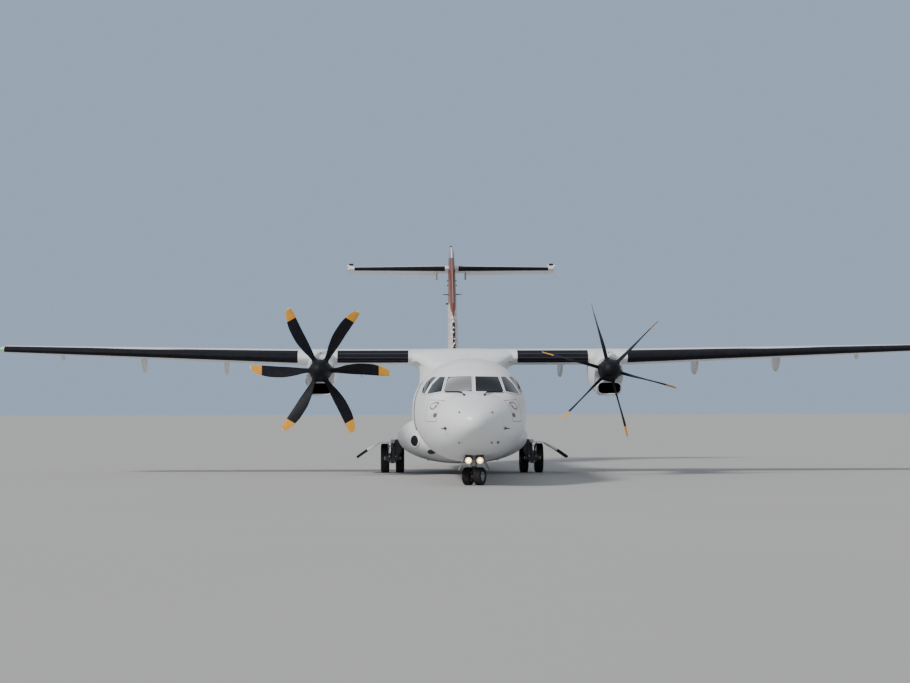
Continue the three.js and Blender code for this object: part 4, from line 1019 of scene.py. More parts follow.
def make_finish(name):
    """One finish of the aircraft, from its maker."""
    look = bpy.context.scene.airliner_looks
    white, dark, metal = tuple(look.white), (0.012, 0.012, 0.014), (0.55, 0.56, 0.58)
    black = (0.0045, 0.005, 0.0085)
    hoops = [("Y", 1.016, 0.2, 0.007), ("Z", 0.92, 0.13, 0.006)]
    wing_lines = [("X", 1.24, 0.3, 0.007)]
    makers = {
        "body_white": lambda: paint("Body white", white, hoops, look.grime),
        "wing_white": lambda: paint("Wing white", white, wing_lines, look.grime),
        "plain_white": lambda: paint("Plain white", white, (), look.grime * 0.6),
        # Frames, lips and rims get a lighter, cleaner copy of the body white: painted highlight.
        "frame_white_painted_highlight": lambda: paint("Frame white with painted highlight", tuple(min(1, v * 1.14) for v in white), (), 0.05),
        "fin_red": lambda: fin_paint("Fin red and white", tuple(look.fin_red), white, 7.18, 4.83),
        "boot": lambda: rubber("De-icing rubber", black),
        "ribbed_boot": lambda: rubber("Ribbed de-icing rubber", black, ribs=4.0),
        "tyre": lambda: rubber("Tyre rubber", (0.012, 0.011, 0.0105), 0.75, bloom=0.014, specular=0.25),
        "seal": lambda: rubber("Seal rubber", (0.012, 0.012, 0.014), 0.6),
        "faint_line": lambda: plain_liner("Panel gap", (0.36, 0.36, 0.36)),
        "joint_line": lambda: plain_liner("Radome joint", (0.6, 0.6, 0.6)),
        "red_line": lambda: plain_liner("Thin red-brown outline", (0.42, 0.2, 0.15)),
        "blade": lambda: blade_paint("Blade black", black, tuple(look.blade_band), (0.75, 0.75, 0.72)),
        "spinner": lambda: rubber("Spinner black", black, 0.55),
        "glass": lambda: glass("Flight deck glass", (0.006, 0.009, 0.016)),
        "cabin_glass": lambda: glass("Cabin glass", (0.016, 0.02, 0.028), 0.1),
        "steel": lambda: bare_metal("Steel", (0.42, 0.42, 0.43), 0.35),
        "chrome": lambda: bare_metal("Polished strut", (0.8, 0.8, 0.82), 0.12, stain=0.1),
        "leg_grey": lambda: bare_metal("Leg grey paint", (0.5, 0.52, 0.54), 0.4, metallic=0.1, scale=3.0),
        "rim": lambda: bare_metal("Wheel metal", metal, 0.36, metallic=0.7, stain=0.4),
        "brake": lambda: bare_metal("Brake stack", (0.16, 0.15, 0.15), 0.5, stain=0.5),
        "hose": lambda: rubber("Hose", dark, 0.6),
        # Near-black: on the main leg castings and the pod's outlet plate it stands for the shade they sit in,
        # painted shade.
        "leg_dark": lambda: bare_metal("Dark leg casting", (0.05, 0.052, 0.06), 0.5, metallic=0.2, scale=4.0),
        "dull_plate": lambda: plain_liner("Air data plate", (0.16, 0.12, 0.12), 0.5, 9.0),
        "port_ring": lambda: plain_liner("Dull red ring", (0.3, 0.23, 0.22), 0.5, 9.0),
        "nose_door": lambda: paint("Nose door", (0.2, 0.185, 0.17), (), 0.4, 0.5),
        "door_grey": lambda: paint("Door grey", (0.5, 0.5, 0.49), (), look.grime),
        "liner": lambda: plain_liner("Cabin liner", (0.56, 0.56, 0.55)),
        # Near-black lining for the intake's throat and the pod's inlet: painted shade.
        "painted_shade_liner": lambda: plain_liner("Painted shade inside", (0.006, 0.006, 0.007), 0.9),
        "well_liner": lambda: plain_liner("Wheel well", (0.3, 0.31, 0.3), 0.6),
        "exhaust": lambda: exhaust_metal("Exhaust steel", (0.35, 0.33, 0.31), (0.16, 0.1, 0.07)),
        "lamp": lambda: glow("Lit landing lamp", (1.0, 0.86, 0.58), look.lamp_strength),
        "lamp_rim": lambda: glow("Warm lamp rim", (1.0, 0.6, 0.2), look.lamp_strength * 0.5),
        "red_lamp": lambda: glow("Red lamp glass", (1.0, 0.05, 0.03), 0.04, (0.16, 0.012, 0.012)),
        "green_lamp": lambda: glow("Green lamp glass", (0.05, 1.0, 0.3), 0.5, (0.02, 0.45, 0.12)),
        "tread": lambda: plain_liner("Step tread", (0.1, 0.1, 0.11), 0.8, 30.0),
    }
    return makers[name]()


# Fuselage


def build_fuselage():
    """Fuselage skin with its two doorways, the entrance behind the airstair and the nose gear bay."""
    marks = [row[0] for row in BODY]
    stations = np.unique(
        np.concatenate([spread(marks[:14], 70), spread(marks[13:17], 500), spread(marks[16:], 160)])
    )
    skin = solid(loft(body_rings(BODY, stations, 112)), finish("body_white"), "skin")
    liner, bay_liner = finish("liner"), finish("well_liner")
    openings = [
        (box_outline(*AIRSTAIR, radius=110), liner),
        (box_outline(*CARGO_DOOR, radius=110), liner),
    ]
    cutters = [solid(prism(grown(o, DOOR_GAP), from_side, DOORWAY_INNER_X, 2000), m) for o, m in openings]
    half, front, rear, floor, roof = ENTRY
    cutters.append(solid(block(-half, half, front, rear, floor, roof), liner))
    half, front, rear, floor, roof = BAY
    cutters.append(solid(block(-half, half, front, rear, floor, roof), bay_liner))
    skin = carved(skin, cutters)
    nodes = ["radome", "nose_section", "forward_fuselage", "centre_fuselage", "rear_fuselage"]
    add_piece("fuselage_skin", skin, "airframe", (), nodes, 28)


def build_panes():
    """Six flight deck panes, each in a raised frame, and the two wipers."""
    frames, seals, wipers = [], [], []
    for name, side in SIDES.items():
        lay = on_front(side)
        for pane, corners in PANES.items():
            outline = rounded_outline(corners, 16)
            parts = [plate(lay, outline, 4, -14)]
            replaced = [f"{pane}_{name}"]
            piece = dress(f"{pane}_glass_{name}", parts, "glass", "airframe", replaced, 40)
            if piece.name == "windscreen_glass_right":
                glass_lit_from_above().objects.link(piece)
            seals.append(trim(lay, outline, [(-5, -4), (-5, 6), (1, 7), (1, -4)]))
            seals.append(trim(lay, grown(outline, 23), [(0, -4), (0, 1.6), (4, 1.6), (4, -4)]))
            frames.append(trim(lay, outline, [(0, -8), (0, 8), (4, 11), (16, 11), (21, 6), (23, -8)]))
        arm = np.array(WIPER_ARM, float)
        path = [lay(arm[i : i + 1], lift)[0] for i, lift in enumerate(WIPER_ARM_LIFTS)]
        wipers.append(tube(curve(lay(np.array(WIPER_BLADE, float), 26)), 0.011, 8, 1.4))
        wipers.append(tube(curve(path), 0.013, 8))
        wipers.append(
            turned([(-0.03, 0.03), (0.03, 0.03), (0.045, 0.018)], lay(arm[-1:], 0)[0], (0, -1, 0.5), 20)
        )
    dress("flight_deck_frames", frames, "frame_white_painted_highlight")
    dress("flight_deck_seals", seals, "seal")
    dress("wipers", wipers, "seal")


def window_outline(station, **counts):
    """Outline of a cabin window about a station."""
    half = WINDOW["half"]
    return box_outline(
        station - half, station + half, WINDOW["low"], WINDOW["high"], WINDOW["corner"], **counts
    )


def build_cabin_windows():
    """Rows of rounded cabin windows with frames, clear of the doors."""
    look = bpy.context.scene.airliner_details
    glasses, frames, seals = [], [], []
    for side in (1, -1):
        lay = on_side(side)
        for station in range(look.first_window, look.last_window, look.window_pitch):
            outline = window_outline(station, per_corner=6, per_side=3)
            glasses.append(plate(lay, outline, 3, -20, 2))
            seals.append(trim(lay, outline, [(-4, -6), (-4, 5), (3, 5.5), (3, -6)]))
            frames.append(trim(lay, outline, [(2, -8), (2, 6), (8, 7), (24, 3.2), (27, -6)]))
    dress("cabin_windows", glasses, "cabin_glass")
    dress("cabin_window_frames", frames, "frame_white_painted_highlight")
    dress("cabin_window_seals", seals, "seal")


def build_fixed_doors():
    """Service door and emergency exits: a plate in its seam, a handle, and a window where it has one."""
    fixed = [
        ("service_door", "service_door_right", SERVICE_DOOR, -1, False),
        ("exit_left", "emergency_exit_left", EXIT, 1, True),
        ("exit_right", "emergency_exit_right", EXIT, -1, True),
    ]
    seams, glasses, handles = [], [], []
    for name, node, door, side, has_window in fixed:
        lay, outline = on_side(side), box_outline(*door)
        dress(
            f"{name}_panel", [plate(lay, outline, 3, -40)], "plain_white", "airframe", [node]
        )
        seams.append(seam(lay, grown(outline, 4), 8, 2.4))
        if has_window:
            pane = window_outline(EXIT_WINDOW_STATION)
            glasses.append(plate(lay, pane, 6, -10, 2))
            seams.append(trim(lay, pane, [(-2, -4), (-2, 8), (10, 7), (12, -4)]))
        rear, low = door[1], door[2]
        grip = box_outline(rear - 210, rear - 90, low + 330, low + 375, 18)
        handles.append(plate(lay, grip, 9, -5, 3))
    seams.append(seam(on_side(1), grown(box_outline(*CARGO_DOOR), DOOR_GAP + 26), 5, 1.4))
    dress("door_seams", seams, "faint_line")
    dress("exit_windows", glasses, "cabin_glass")
    dress("door_handles", handles, "steel")


def round_mark(spot, wide, high, count=24):
    """Oval outline about a spot, from the cosine and sine of even turns."""
    turn = np.linspace(0, 2 * np.pi, count, endpoint=False)
    return np.stack([spot[0] + wide * np.cos(turn), spot[1] + high * np.sin(turn)], -1)


def build_nose_details():
    """Radome joint and latches, air data probes, and the outlined plates with their ports on each side."""
    fore, aft = RADOME_JOINT - 2, RADOME_JOINT + 2
    section = ((fore, -8), (fore, 0.6), (aft, 0.6), (aft, -8))
    joint = [body_rings(BODY, [station], 96, inset=-lift)[0] for station, lift in section]
    latches, plates, rings, spots, probes, red = [], [], [], [], [], []
    for side in (1, -1):
        front, flank = on_front(side), on_side(side)
        for x, z, radius, sides in LATCHES:
            if side in sides:
                latches.append(plate(front, round_mark((x, z), radius, radius, 16), 7, -6, 2))
        for station, z in PROBES:
            root = flank(np.array([[station, z]], float), 0)[0]
            tip = root + np.array([side * 0.1, -0.05, -0.01])
            probes.append(rod(root, tip, 0.016, 0.011, 16))
            probes.append(rod(tip + [0, 0.02, 0], tip - [0, 0.13, 0], 0.01, 0.006, 14))
            latches.append(plate(flank, round_mark((station, z), 70, 45), 3, -5, 2))
        upper = round_mark(*UPPER_PORT)
        red.append(seam(flank, rounded_outline(STATIC_PLATE, 40), 12, 2.2))
        rings.append(trim(flank, upper, [(-34, -5), (-34, 4), (0, 5), (4, -5)]))
        plates.append(plate(flank, grown(upper, -28), 3, -5, 2))
        spots.append(plate(flank, round_mark(*PORT_SPOT), 6, -5, 2))
        spots.append(plate(flank, round_mark(*LOWER_PORT), 4, -5, 2))
    dress("radome_joint", [loft(joint, capped=False, looped=True)], "joint_line")
    dress("nose_latches", latches, "steel")
    dress("air_data_probes", probes, "leg_dark")
    dress("static_plate_outlines", red, "red_line")
    dress("static_port_rings", rings, "port_ring")
    dress("static_port_plates", plates, "plain_white")
    dress("static_port_spots", spots, "dull_plate")


def build_body_details():
    """Ice guards beside the propellers, each over a black band of painted shadow, aerials and beacons."""
    guards, gaps = [], []
    outline = box_outline(*ICE_GUARD, 70, per_corner=8, per_side=20)
    for side in (1, -1):
        guards.append(plate(on_side(side), outline, 46, 20, 4))
        # A black sheet in the gap under each guard's edge: painted shadow.
        gaps.append(plate(on_side(side), grown(outline, -12), 21, -10, 2))
    dress("ice_guards", guards, "plain_white")
    dress("ice_guard_painted_shadows", gaps, "seal")
    dress("aerials", [fin_aerial(0, *aerial) for aerial in AERIALS], "plain_white")
    lamps = [turned(BEACON_PROFILE, place(0, station, z), (0, 0, way), 28) for station, z, way in BEACONS]
    dress("beacons", lamps, "red_lamp")


def fin_aerial(x, station, height, chord, rise):
    """Blade aerial: a thin swept section that narrows with its height."""
    turn = np.linspace(0, 2 * np.pi, 20, endpoint=False)
    rings = []
    for share in (-0.08, 0.0, 0.5, 0.85, 0.97, 1.0):
        taper = 1 - 0.55 * max(share, 0) - (0.25 if share > 0.98 else 0)
        shift = 0.55 * chord * max(share, 0)
        along = station + shift + 0.5 * chord * taper * np.cos(turn)
        rings.append(place(x + 13 * taper * np.sin(turn), along, height + rise * share))
    return loft(rings)


# Doors that swing


def build_doors():
    """Cargo door and airstair: an outer panel, an inner liner and a handle, and the stair's treads and
    rails."""
    leaves = {
        "cargo_door_leaf": (CARGO_DOOR, "cargo_door", "cargo_door", 4),
        "airstair_leaf": (AIRSTAIR_LEAF, "airstair_door", "airstair", 32),
    }
    materials = [finish(look) for look in ("plain_white", "liner", "steel", "tread")]
    for name, (door, node, body, bevel) in leaves.items():
        lay, outline = on_side(1), box_outline(*door)
        rear, low = door[1], door[2]
        handle = box_outline(rear - 260, rear - 120, low + 700, low + 750, 20)
        parts = [
            (*plate(lay, outline, 0, -DOOR_PANEL, bevel), 0),
            (*plate(lay, grown(outline, -70), 1 - DOOR_PANEL, -DOOR_PANEL - 12, 3), 1),
            (*plate(lay, handle, 8, -5, 3), 2),
        ]
        if body == "airstair":
            parts += airstair_steps()
        add_piece(name, mesh_of(name, parts), body, materials, [node], 30)


def airstair_steps():
    """Treads that stand in from the stair's inner face, and a rail along each side."""
    front, rear, sill, head = AIRSTAIR
    parts, half = [], STEPS["half"]
    for z in np.linspace(sill, head, STEPS["count"] + 2)[1:-1]:
        outer = float(body_x(np.array([STEPS["station"]]), np.array([z]))[0])
        near, far = outer - STEPS["inner"], outer - STEPS["outer"]
        parts.append((*block(near, far, front + STEPS["ends"], rear - STEPS["ends"], z - half, z + half), 3))
    for station in (front + RAIL["ends"], rear - RAIL["ends"]):
        heights = np.linspace(sill + RAIL["height"], head - RAIL["height"], 18)
        outer = body_x(np.full(18, float(station)), heights)
        parts.append((*tube(place(outer - RAIL["inset"], station, heights), RAIL["radius"], 10), 2))
    return parts


# Wing


def pod(x, front, rear, top, drop, half=62):
    """Slim pod hung below the wing: a rounded body that swells and tapers between two stations."""
    table = [
        [front + a * (rear - front), half * w, top - drop * d, top - drop * d * 0.5, top + 60]
        for a, w, d in POD_SHARES
    ]
    return loft(body_rings(table, np.linspace(front, rear, 28), 28, roundness=2.4, x=x))


def flap_pod(x, side):
    """The whole pod of a flap at a distance x, and the station, height and flap hinge height of its
    mount."""
    station, mid, thick = on_chord(x, FLAP_START)
    chord = wing_at(x)[1]
    top, hinge = mid - thick * 0.3, mid - FLAP_HINGE_DROP
    shell = solid(pod(side * x, station - 0.34 * chord, station + 0.38 * chord, top, top - hinge + 60))
    return shell, station, hinge


def aft_outline(side, span, shift, end_gaps=(0, 0)):
    """Outline from above of the wing behind the flap line between two distances."""
    a, b = span[0] - end_gaps[0], span[1] + end_gaps[1]
    front = [on_chord(v, FLAP_START)[0] + shift for v in (a, b)]
    return [[side * a, front[0]], [side * b, front[1]], [side * b, AFT_OF_WING], [side * a, AFT_OF_WING]]


def build_wing():
    """Centre wing with the rooms of its flaps, and on each side the outer wing, its aileron and the
    flaps."""
    white = finish("wing_white")
    centre = solid(loft(foil_rings(WING, np.array([-WING_KINK_X, WING_KINK_X], float), steps=34)), white)
    rooms, supports = [], []
    for name, side in SIDES.items():
        whole = build_wing_side(name, side, white)
        inner = loft(foil_rings(WING, side * np.array([0, WING_KINK_X], float), steps=34))
        build_flap("inner", name, side, inner, INNER_FLAP, INNER_FAIRINGS, white)
        build_flap("outer", name, side, whole, OUTER_FLAP, OUTER_FAIRINGS, white)
        room = aft_outline(side, INNER_FLAP, -RUNNING_GAP, (2 * RUNNING_GAP, INNER_FLAP[2]))
        rooms.append(solid(prism(room, from_above, 2500, 4200), white))
        supports += [solid(part, white) for part in flap_supports(side, INNER_FAIRINGS)]
    centre = carved(carved(centre, rooms), supports, "UNION")
    add_piece("wing_centre_skin", centre, "airframe", (), ["wing_centre"])


def flap_supports(side, places):
    """The fixed front part of each flap pod, with the plate that carries the flap."""
    parts = []
    for x in places:
        shell, station, hinge = flap_pod(x, side)
        keep = solid(block(side * (x - 200), side * (x + 200), station - 3000, station - 40, 2000, 4200))
        parts.append(part_of(carved(shell, [keep], "INTERSECT")))
        parts.append(block(side * x - 11, side * x + 11, station - 140, station + 90, hinge - 26, hinge + 34))
    return parts


def about(centre, axis, degrees):
    """Turn by an angle about a line through a point."""
    turn = Matrix.Rotation(math.radians(degrees), 4, Vector(axis))
    return Matrix.Translation(Vector(centre)) @ turn @ Matrix.Translation(-Vector(centre))


def part_of(mesh):
    """Corners and faces of a mesh."""
    corners = np.zeros(len(mesh.vertices) * 3)
    mesh.vertices.foreach_get("co", corners)
    return corners.reshape(-1, 3), [list(face.vertices) for face in mesh.polygons]


def build_wing_side(name, side, white):
    """Outer wing and aileron on one side. The hinge of the aileron is a round bar joined to its front."""
    marks = [WING_KINK_X, 5200, 13330, 13370, 13410, 13460, 13500, 13525]
    whole = loft(foil_rings(WING, side * np.array(marks, float), steps=34))
    start, end = AILERON
    (near, mid_near, thick_near), (far, mid_far, thick_far) = (
        on_chord(x, FLAP_START + 0.03) for x in AILERON
    )
    inner_end = place(side * start, near, mid_near + thick_near * 0.06)
    outer_end = place(side * end, far, mid_far + thick_far * 0.06)
    radii = [thick_near * 0.27, thick_far * 0.27]
    gap = RUNNING_GAP
    room = []
    for x, radius in ((start - gap, radii[0]), (end + gap, radii[1])):
        room.append([side * x, on_chord(x, FLAP_START + 0.03)[0] - radius - gap])
    room += [[side * (end + gap), AFT_OF_WING], [side * (start - gap), AFT_OF_WING]]
    flap_room = aft_outline(side, OUTER_FLAP, -gap, (2 * gap, OUTER_FLAP[2]))
    rooms = [solid(prism(outline, from_above, 2500, 4400), white) for outline in (flap_room, room)]
    supports = flap_supports(side, OUTER_FAIRINGS)
    mount, mid, thick = on_chord(AILERON_FAIRING_X, FLAP_START)
    supports.append(pod(side * AILERON_FAIRING_X, mount - 420, mount - 90, mid - thick * 0.25, 190))
    outer = carved(carved(solid(whole, white), rooms), [solid(part, white) for part in supports], "UNION")
    add_piece(f"outer_wing_skin_{name}", outer, "airframe", (), [f"outer_wing_{name}"])
    tail = [[side * start, near], [side * end, far], [side * end, AFT_OF_WING], [side * start, AFT_OF_WING]]
    aileron = carved(solid(whole, white), [solid(prism(tail, from_above, 2500, 4400), white)], "INTERSECT")
    bar = rod(inner_end, outer_end, radii[0] * 0.001, radii[1] * 0.001, 32, 0.001)
    aileron = carved(aileron, [solid(bar, white)], "UNION")
    body = f"aileron_{name}"
    add_piece(f"aileron_skin_{name}", aileron, body, (), [body])
    return whole


def build_flap(label, name, side, source, span, places, white):
    """A flap: the wing behind the flap line between its ends, with the moving part of each pod and its
    slot."""
    cut = prism(aft_outline(side, span, 0), from_above, 2500, 4200)
    flap = carved(solid(source, white), [solid(cut, white)], "INTERSECT")
    pods = []
    for x in places:
        shell, station, hinge = flap_pod(x, side)
        keep = solid(block(side * (x - 200), side * (x + 200), station + 40, station + 3000, 2000, 4200))
        slot = block(side * x - 25, side * x + 25, station - 20, station + 150, hinge - 300, hinge + 124)
        pods.append(solid(part_of(carved(carved(shell, [keep], "INTERSECT"), [solid(slot)])), white))
    flap = carved(flap, pods, "UNION")
    body = f"flap_{label}_{name}"
    add_piece(f"flap_skin_{label}_{name}", flap, body, (), [body])


def nose_band(table, x, upper, lower, thickness, camber=WING_CAMBER, steps=22):
    """Closed band wrapped round a leading edge: out over the nose from the upper to the lower share of
    the chord, raised by a thickness, and back below the skin."""
    table = np.asarray(table, float)
    lead, chord, ratio, mid = (np.interp(np.abs(x), table[:, 0], table[:, k])[:, None] for k in range(1, 5))
    t = np.linspace(-1, 1, 2 * steps + 1)[None, :]
    share = np.where(t < 0, upper * t**2, lower * t**2)
    sign = np.where(t < 0, 1.0, -1.0)
    s = lead + share * chord
    z = mid + 4 * camber * share * (1 - share) * chord + sign * foil_half(share) * ratio * chord
    ds, dz = np.gradient(s, axis=1), np.gradient(z, axis=1)
    size = np.hypot(ds, dz)
    ns, nz = dz / size, -ds / size
    flip = np.sign(-ns[:, steps : steps + 1])
    ns, nz = ns * flip, nz * flip
    rise = thickness * np.clip(np.minimum(t + 1, 1 - t) * 25, 0, 1)
    outer = place(np.asarray(x, float)[:, None], s + ns * rise, z + nz * rise)
    inner = place(np.asarray(x, float)[:, None], s - ns * 6, z - nz * 6)[:, ::-1]
    rings = np.concatenate([outer, inner], 1)
    across = np.concatenate([(t[0] + 1) / 2, (t[0, ::-1] + 1) / 2])
    along = np.linspace(0, 1, len(x))
    uvs = np.stack(np.broadcast_arrays(along[:, None], across[None, :]), -1).reshape(-1, 2)
    return loft(rings), uvs


def add_bands(name, bands, body, material):
    """One piece from several wrapped bands, with their maps."""
    parts, uvs = [], []
    for part, uv in bands:
        parts.append(part)
        uvs.append(uv)
    mesh = mesh_of(name, parts, np.concatenate(uvs))
    add_piece(name, mesh, body, [material], angle=40)


def build_boots():
    """Black de-icing bands on the leading edges of the wing."""
    look = bpy.context.scene.airliner_details
    thick, upper, lower = look.boot_thickness * 1000, look.boot_upper, look.boot_lower
    inner, outer = [], []
    for side in (1, -1):
        inner.append(nose_band(WING, side * spread([1585, 3640], 400), upper, lower, thick))
        outer.append(nose_band(WING, side * spread([4790, 4900, 13330], 420), upper, lower, thick))
    add_bands("inner_wing_boots", inner, "airframe", finish("ribbed_boot"))
    add_bands("outer_wing_boots", outer, "airframe", finish("boot"))


def saddle_rings(stations, steps=9):
    """Rings of the wing fairing: upright sides, a quarter circle out to the wing's lower side, and a top
    whose sine and cosine are raised to 2 / roundness."""
    half, bottom, top, flare, low, high = (column[:, None] for column in through_rows(SADDLE, stations).T)
    out = (np.pi / 2 * np.arange(1, steps + 1) / steps)[None, :]
    over = (np.pi / 2 * np.arange(1, 2 * steps) / (2 * steps))[None, :]
    power = 2 / SADDLE_ROUNDNESS
    wide = half + flare
    x = np.concatenate([half, half, half + flare * (1 - np.cos(out)), wide, wide * np.cos(over) ** power], 1)
    z = np.concatenate(
        [
            bottom,
            low - flare,
            low - flare + flare * np.sin(out),
            high,
            high + (top - high) * np.sin(over) ** power,
        ], 1
    )
    x = np.concatenate([x, 0 * half, -x[:, ::-1]], 1)
    z = np.concatenate([z, top, z[:, ::-1]], 1)
    return place(x, np.asarray(stations, float)[:, None], z)


def build_saddle():
    """Fairing that carries the wing's lines down to the body."""
    stations = spread([row[0] for row in SADDLE], 90)
    saddle = solid(loft(saddle_rings(stations)), finish("plain_white"))
    add_piece("wing_fairing_skin", saddle, "airframe", (), ["wing_fairing"])


def build_wing_details():
    """Tip lamps and the thin rods that shed static charge."""
    lamps = {"left": "red_lamp", "right": "green_lamp"}
    for name, side in SIDES.items():
        path = curve([place(side * x, station, z) for x, station, z in TIP_LAMP], 12)
        dress(f"tip_lamp_{name}", [tube(path, [0.012] + [0.03] * 10 + [0.012], 16)], lamps[name])
        rods = []
        for x in AILERON_ROD_PLACES:
            station, mid, _ = on_chord(x, 1.0)
            root, tip = place(side * x, station - 30, mid), place(side * x, station + 95, mid - 6)
            rods.append(rod(root, tip, 0.004, 0.002, 8, 0.0005))
        dress(f"aileron_static_rods_{name}", rods, "seal", f"aileron_{name}")


# Engines


def scoop_rings(x):
    """Rings of the chin scoop: rounded rectangles through its rows, with the corner a share of the half
    width."""
    stations = spread([row[0] for row in SCOOP], 60)
    rings = []
    for station, (half, floor, roof) in zip(stations, through_rows(SCOOP, stations)):
        corner = min(half, (roof - floor) / 2) * 0.72
        rings.append(from_front(box_outline(x - half, x + half, floor, roof, corner), station))
    return rings


def mouth_outline(x, grow=0):
    """Rounded rectangle of the intake's mouth."""
    half, low, high = INTAKE["half"] + grow, INTAKE["floor"] - grow, INTAKE["roof"] + grow
    return box_outline(x - half, x + half, low, high, INTAKE["corner"] + grow)


def build_nacelles():
    """Nacelles with their chin scoop, intake lined near-black as painted shade, white lip and exhaust pipe.
    """
    for name, side in SIDES.items():
        x = side * ENGINE_X
        white, dark = finish("body_white"), finish("painted_shade_liner")
        shell = solid(loft(body_rings(NACELLE, spread([row[0] for row in NACELLE], 130), 72, x=x)), white)
        scoop = solid(loft(scoop_rings(x)), white)
        # The throat is lined near-black: painted shade deep in the intake.
        throat = solid(prism(mouth_outline(x), from_front, INTAKE["front"] - 200, INTAKE["rear"]), dark)
        shell = carved(carved(shell, [scoop], "UNION"), [throat])
        add_piece(f"nacelle_skin_{name}", shell, "airframe", (), [f"nacelle_{name}"], 30)
        (fx, fs, fz), (rx, rs, rz) = EXHAUST["front"], EXHAUST["rear"]
        front, rear = place(x + side * fx, fs, fz), place(x + side * rx, rs, rz)
        length = float(np.linalg.norm(rear - front))
        radius, bore, deep = (EXHAUST[key] * 0.001 for key in ("radius", "bore", "depth"))
        line = [(0, radius - 0.02), (0.1, radius), (length - 0.01, radius), (length, radius - 0.004)]
        line += [(length, bore), (length - deep, bore), (length - deep, 0.0)]
        dress(f"exhaust_pipe_{name}", [turned(line, front, rear - front, 48)], "exhaust")
        dress(f"intake_lip_{name}", [intake_lip(x)], "frame_white_painted_highlight")
        bump = pod(x, 9350, 9900, NACELLE[1][4] - 45, 0, 90)
        dress(f"nacelle_top_fairing_{name}", [bump], "door_grey")


def intake_lip(x):
    """Rounded rim round the chin intake: half a circle of cosine and sine carried round the mouth."""
    thick = INTAKE["lip"] / 2
    turns = np.linspace(0, 2 * math.pi, 16, endpoint=False)
    section = [(thick + thick * math.cos(t), thick * math.sin(t)) for t in turns]

    def lay(points, lift):
        return place(points[:, 0], INTAKE["front"] + 8 - lift, points[:, 1])

    return trim(lay, mouth_outline(x), section)


def blade_part(turn, pitch):
    """One blade: a thin section, thicker towards its front edge, carried along the radius with its twist
    and sweep."""
    radii = spread([row[0] for row in BLADE], 60)
    chord, thick, sweep, twist = through_rows(BLADE, radii).T
    out = np.array([math.sin(turn), 0, math.cos(turn)])
    across = np.array([math.cos(turn), 0, -math.sin(turn)])
    along = np.array([0.0, 1.0, 0.0])
    angle = np.radians(pitch + twist)[:, None]
    chord_line = across * np.cos(angle) + along * np.sin(angle)
    face = -across * np.sin(angle) + along * np.cos(angle)
    step = np.linspace(0, 2 * np.pi, 22, endpoint=False)
    reach = (chord[:, None] / 2) * np.cos(step) + sweep[:, None]
    depth = (thick[:, None] / 2) * np.sin(step) * (1 + 0.25 * np.cos(step))
    rings = (
        out * radii[:, None]
    )[:, None] + chord_line[:, None] * reach[..., None] + face[:, None] * depth[..., None]
    uvs = np.stack(np.broadcast_arrays(step[None, :] / 6.3, (radii / 1962)[:, None]), -1).reshape(-1, 2)
    return loft(rings * 0.001), uvs


def build_propellers():
    """Two propellers, each with six swept blades on a spinner and a dull cuff at each root."""
    stations = spread([row[0] for row in SPINNER], 22)
    profile = np.column_stack([stations, through_rows(SPINNER, stations)[:, 0]]) * 0.001
    profile = np.concatenate([profile, [[0.15, 0.3], [0.15, 0.0]]])
    for name, (side, first, pitch) in PROPELLERS.items():
        hub, body = place(side * ENGINE_X, HUB_STATION, HUB_HEIGHT), f"propeller_{name}"
        blades, uvs, cuffs = [], [], []
        for turn in np.radians(first + 60 * np.arange(6)):
            (corners, faces), uv = blade_part(turn, pitch)
            blades.append((corners + hub, faces))
            uvs.append(uv)
            out = np.array([math.sin(turn), 0, math.cos(turn)])
            cuffs.append(turned(BLADE_CUFF, hub, out, 28, capped=False))
        mesh = mesh_of("blades", blades, np.concatenate(uvs))
        add_piece(f"blades_{name}", mesh, body, [finish("blade")], [body], 50)
        dress(f"spinner_{name}", [turned(profile, hub, (0, 1, 0), 72, capped=False)], "spinner", body)
        dress(f"blade_cuffs_{name}", cuffs, "seal", body)


# Tail


def fin_rings(heights):
    """Rings of the fin: a symmetrical section from the leading to the trailing edge at each height."""
    table = np.asarray(FIN, float)
    lead, rear, half = (np.interp(heights, table[:, 0], table[:, k])[:, None] for k in (1, 2, 3))
    c = (1 - np.cos(np.linspace(0, np.pi, 31))) / 2
    shares = np.concatenate([c, c[::-1][:-1]])[None, :]
    sign = np.concatenate([np.ones(31), -np.ones(30)])[None, :]
    width = half * 2.02 * foil_half(shares)
    return place(sign * width, lead + (rear - lead) * shares, np.asarray(heights, float)[:, None])


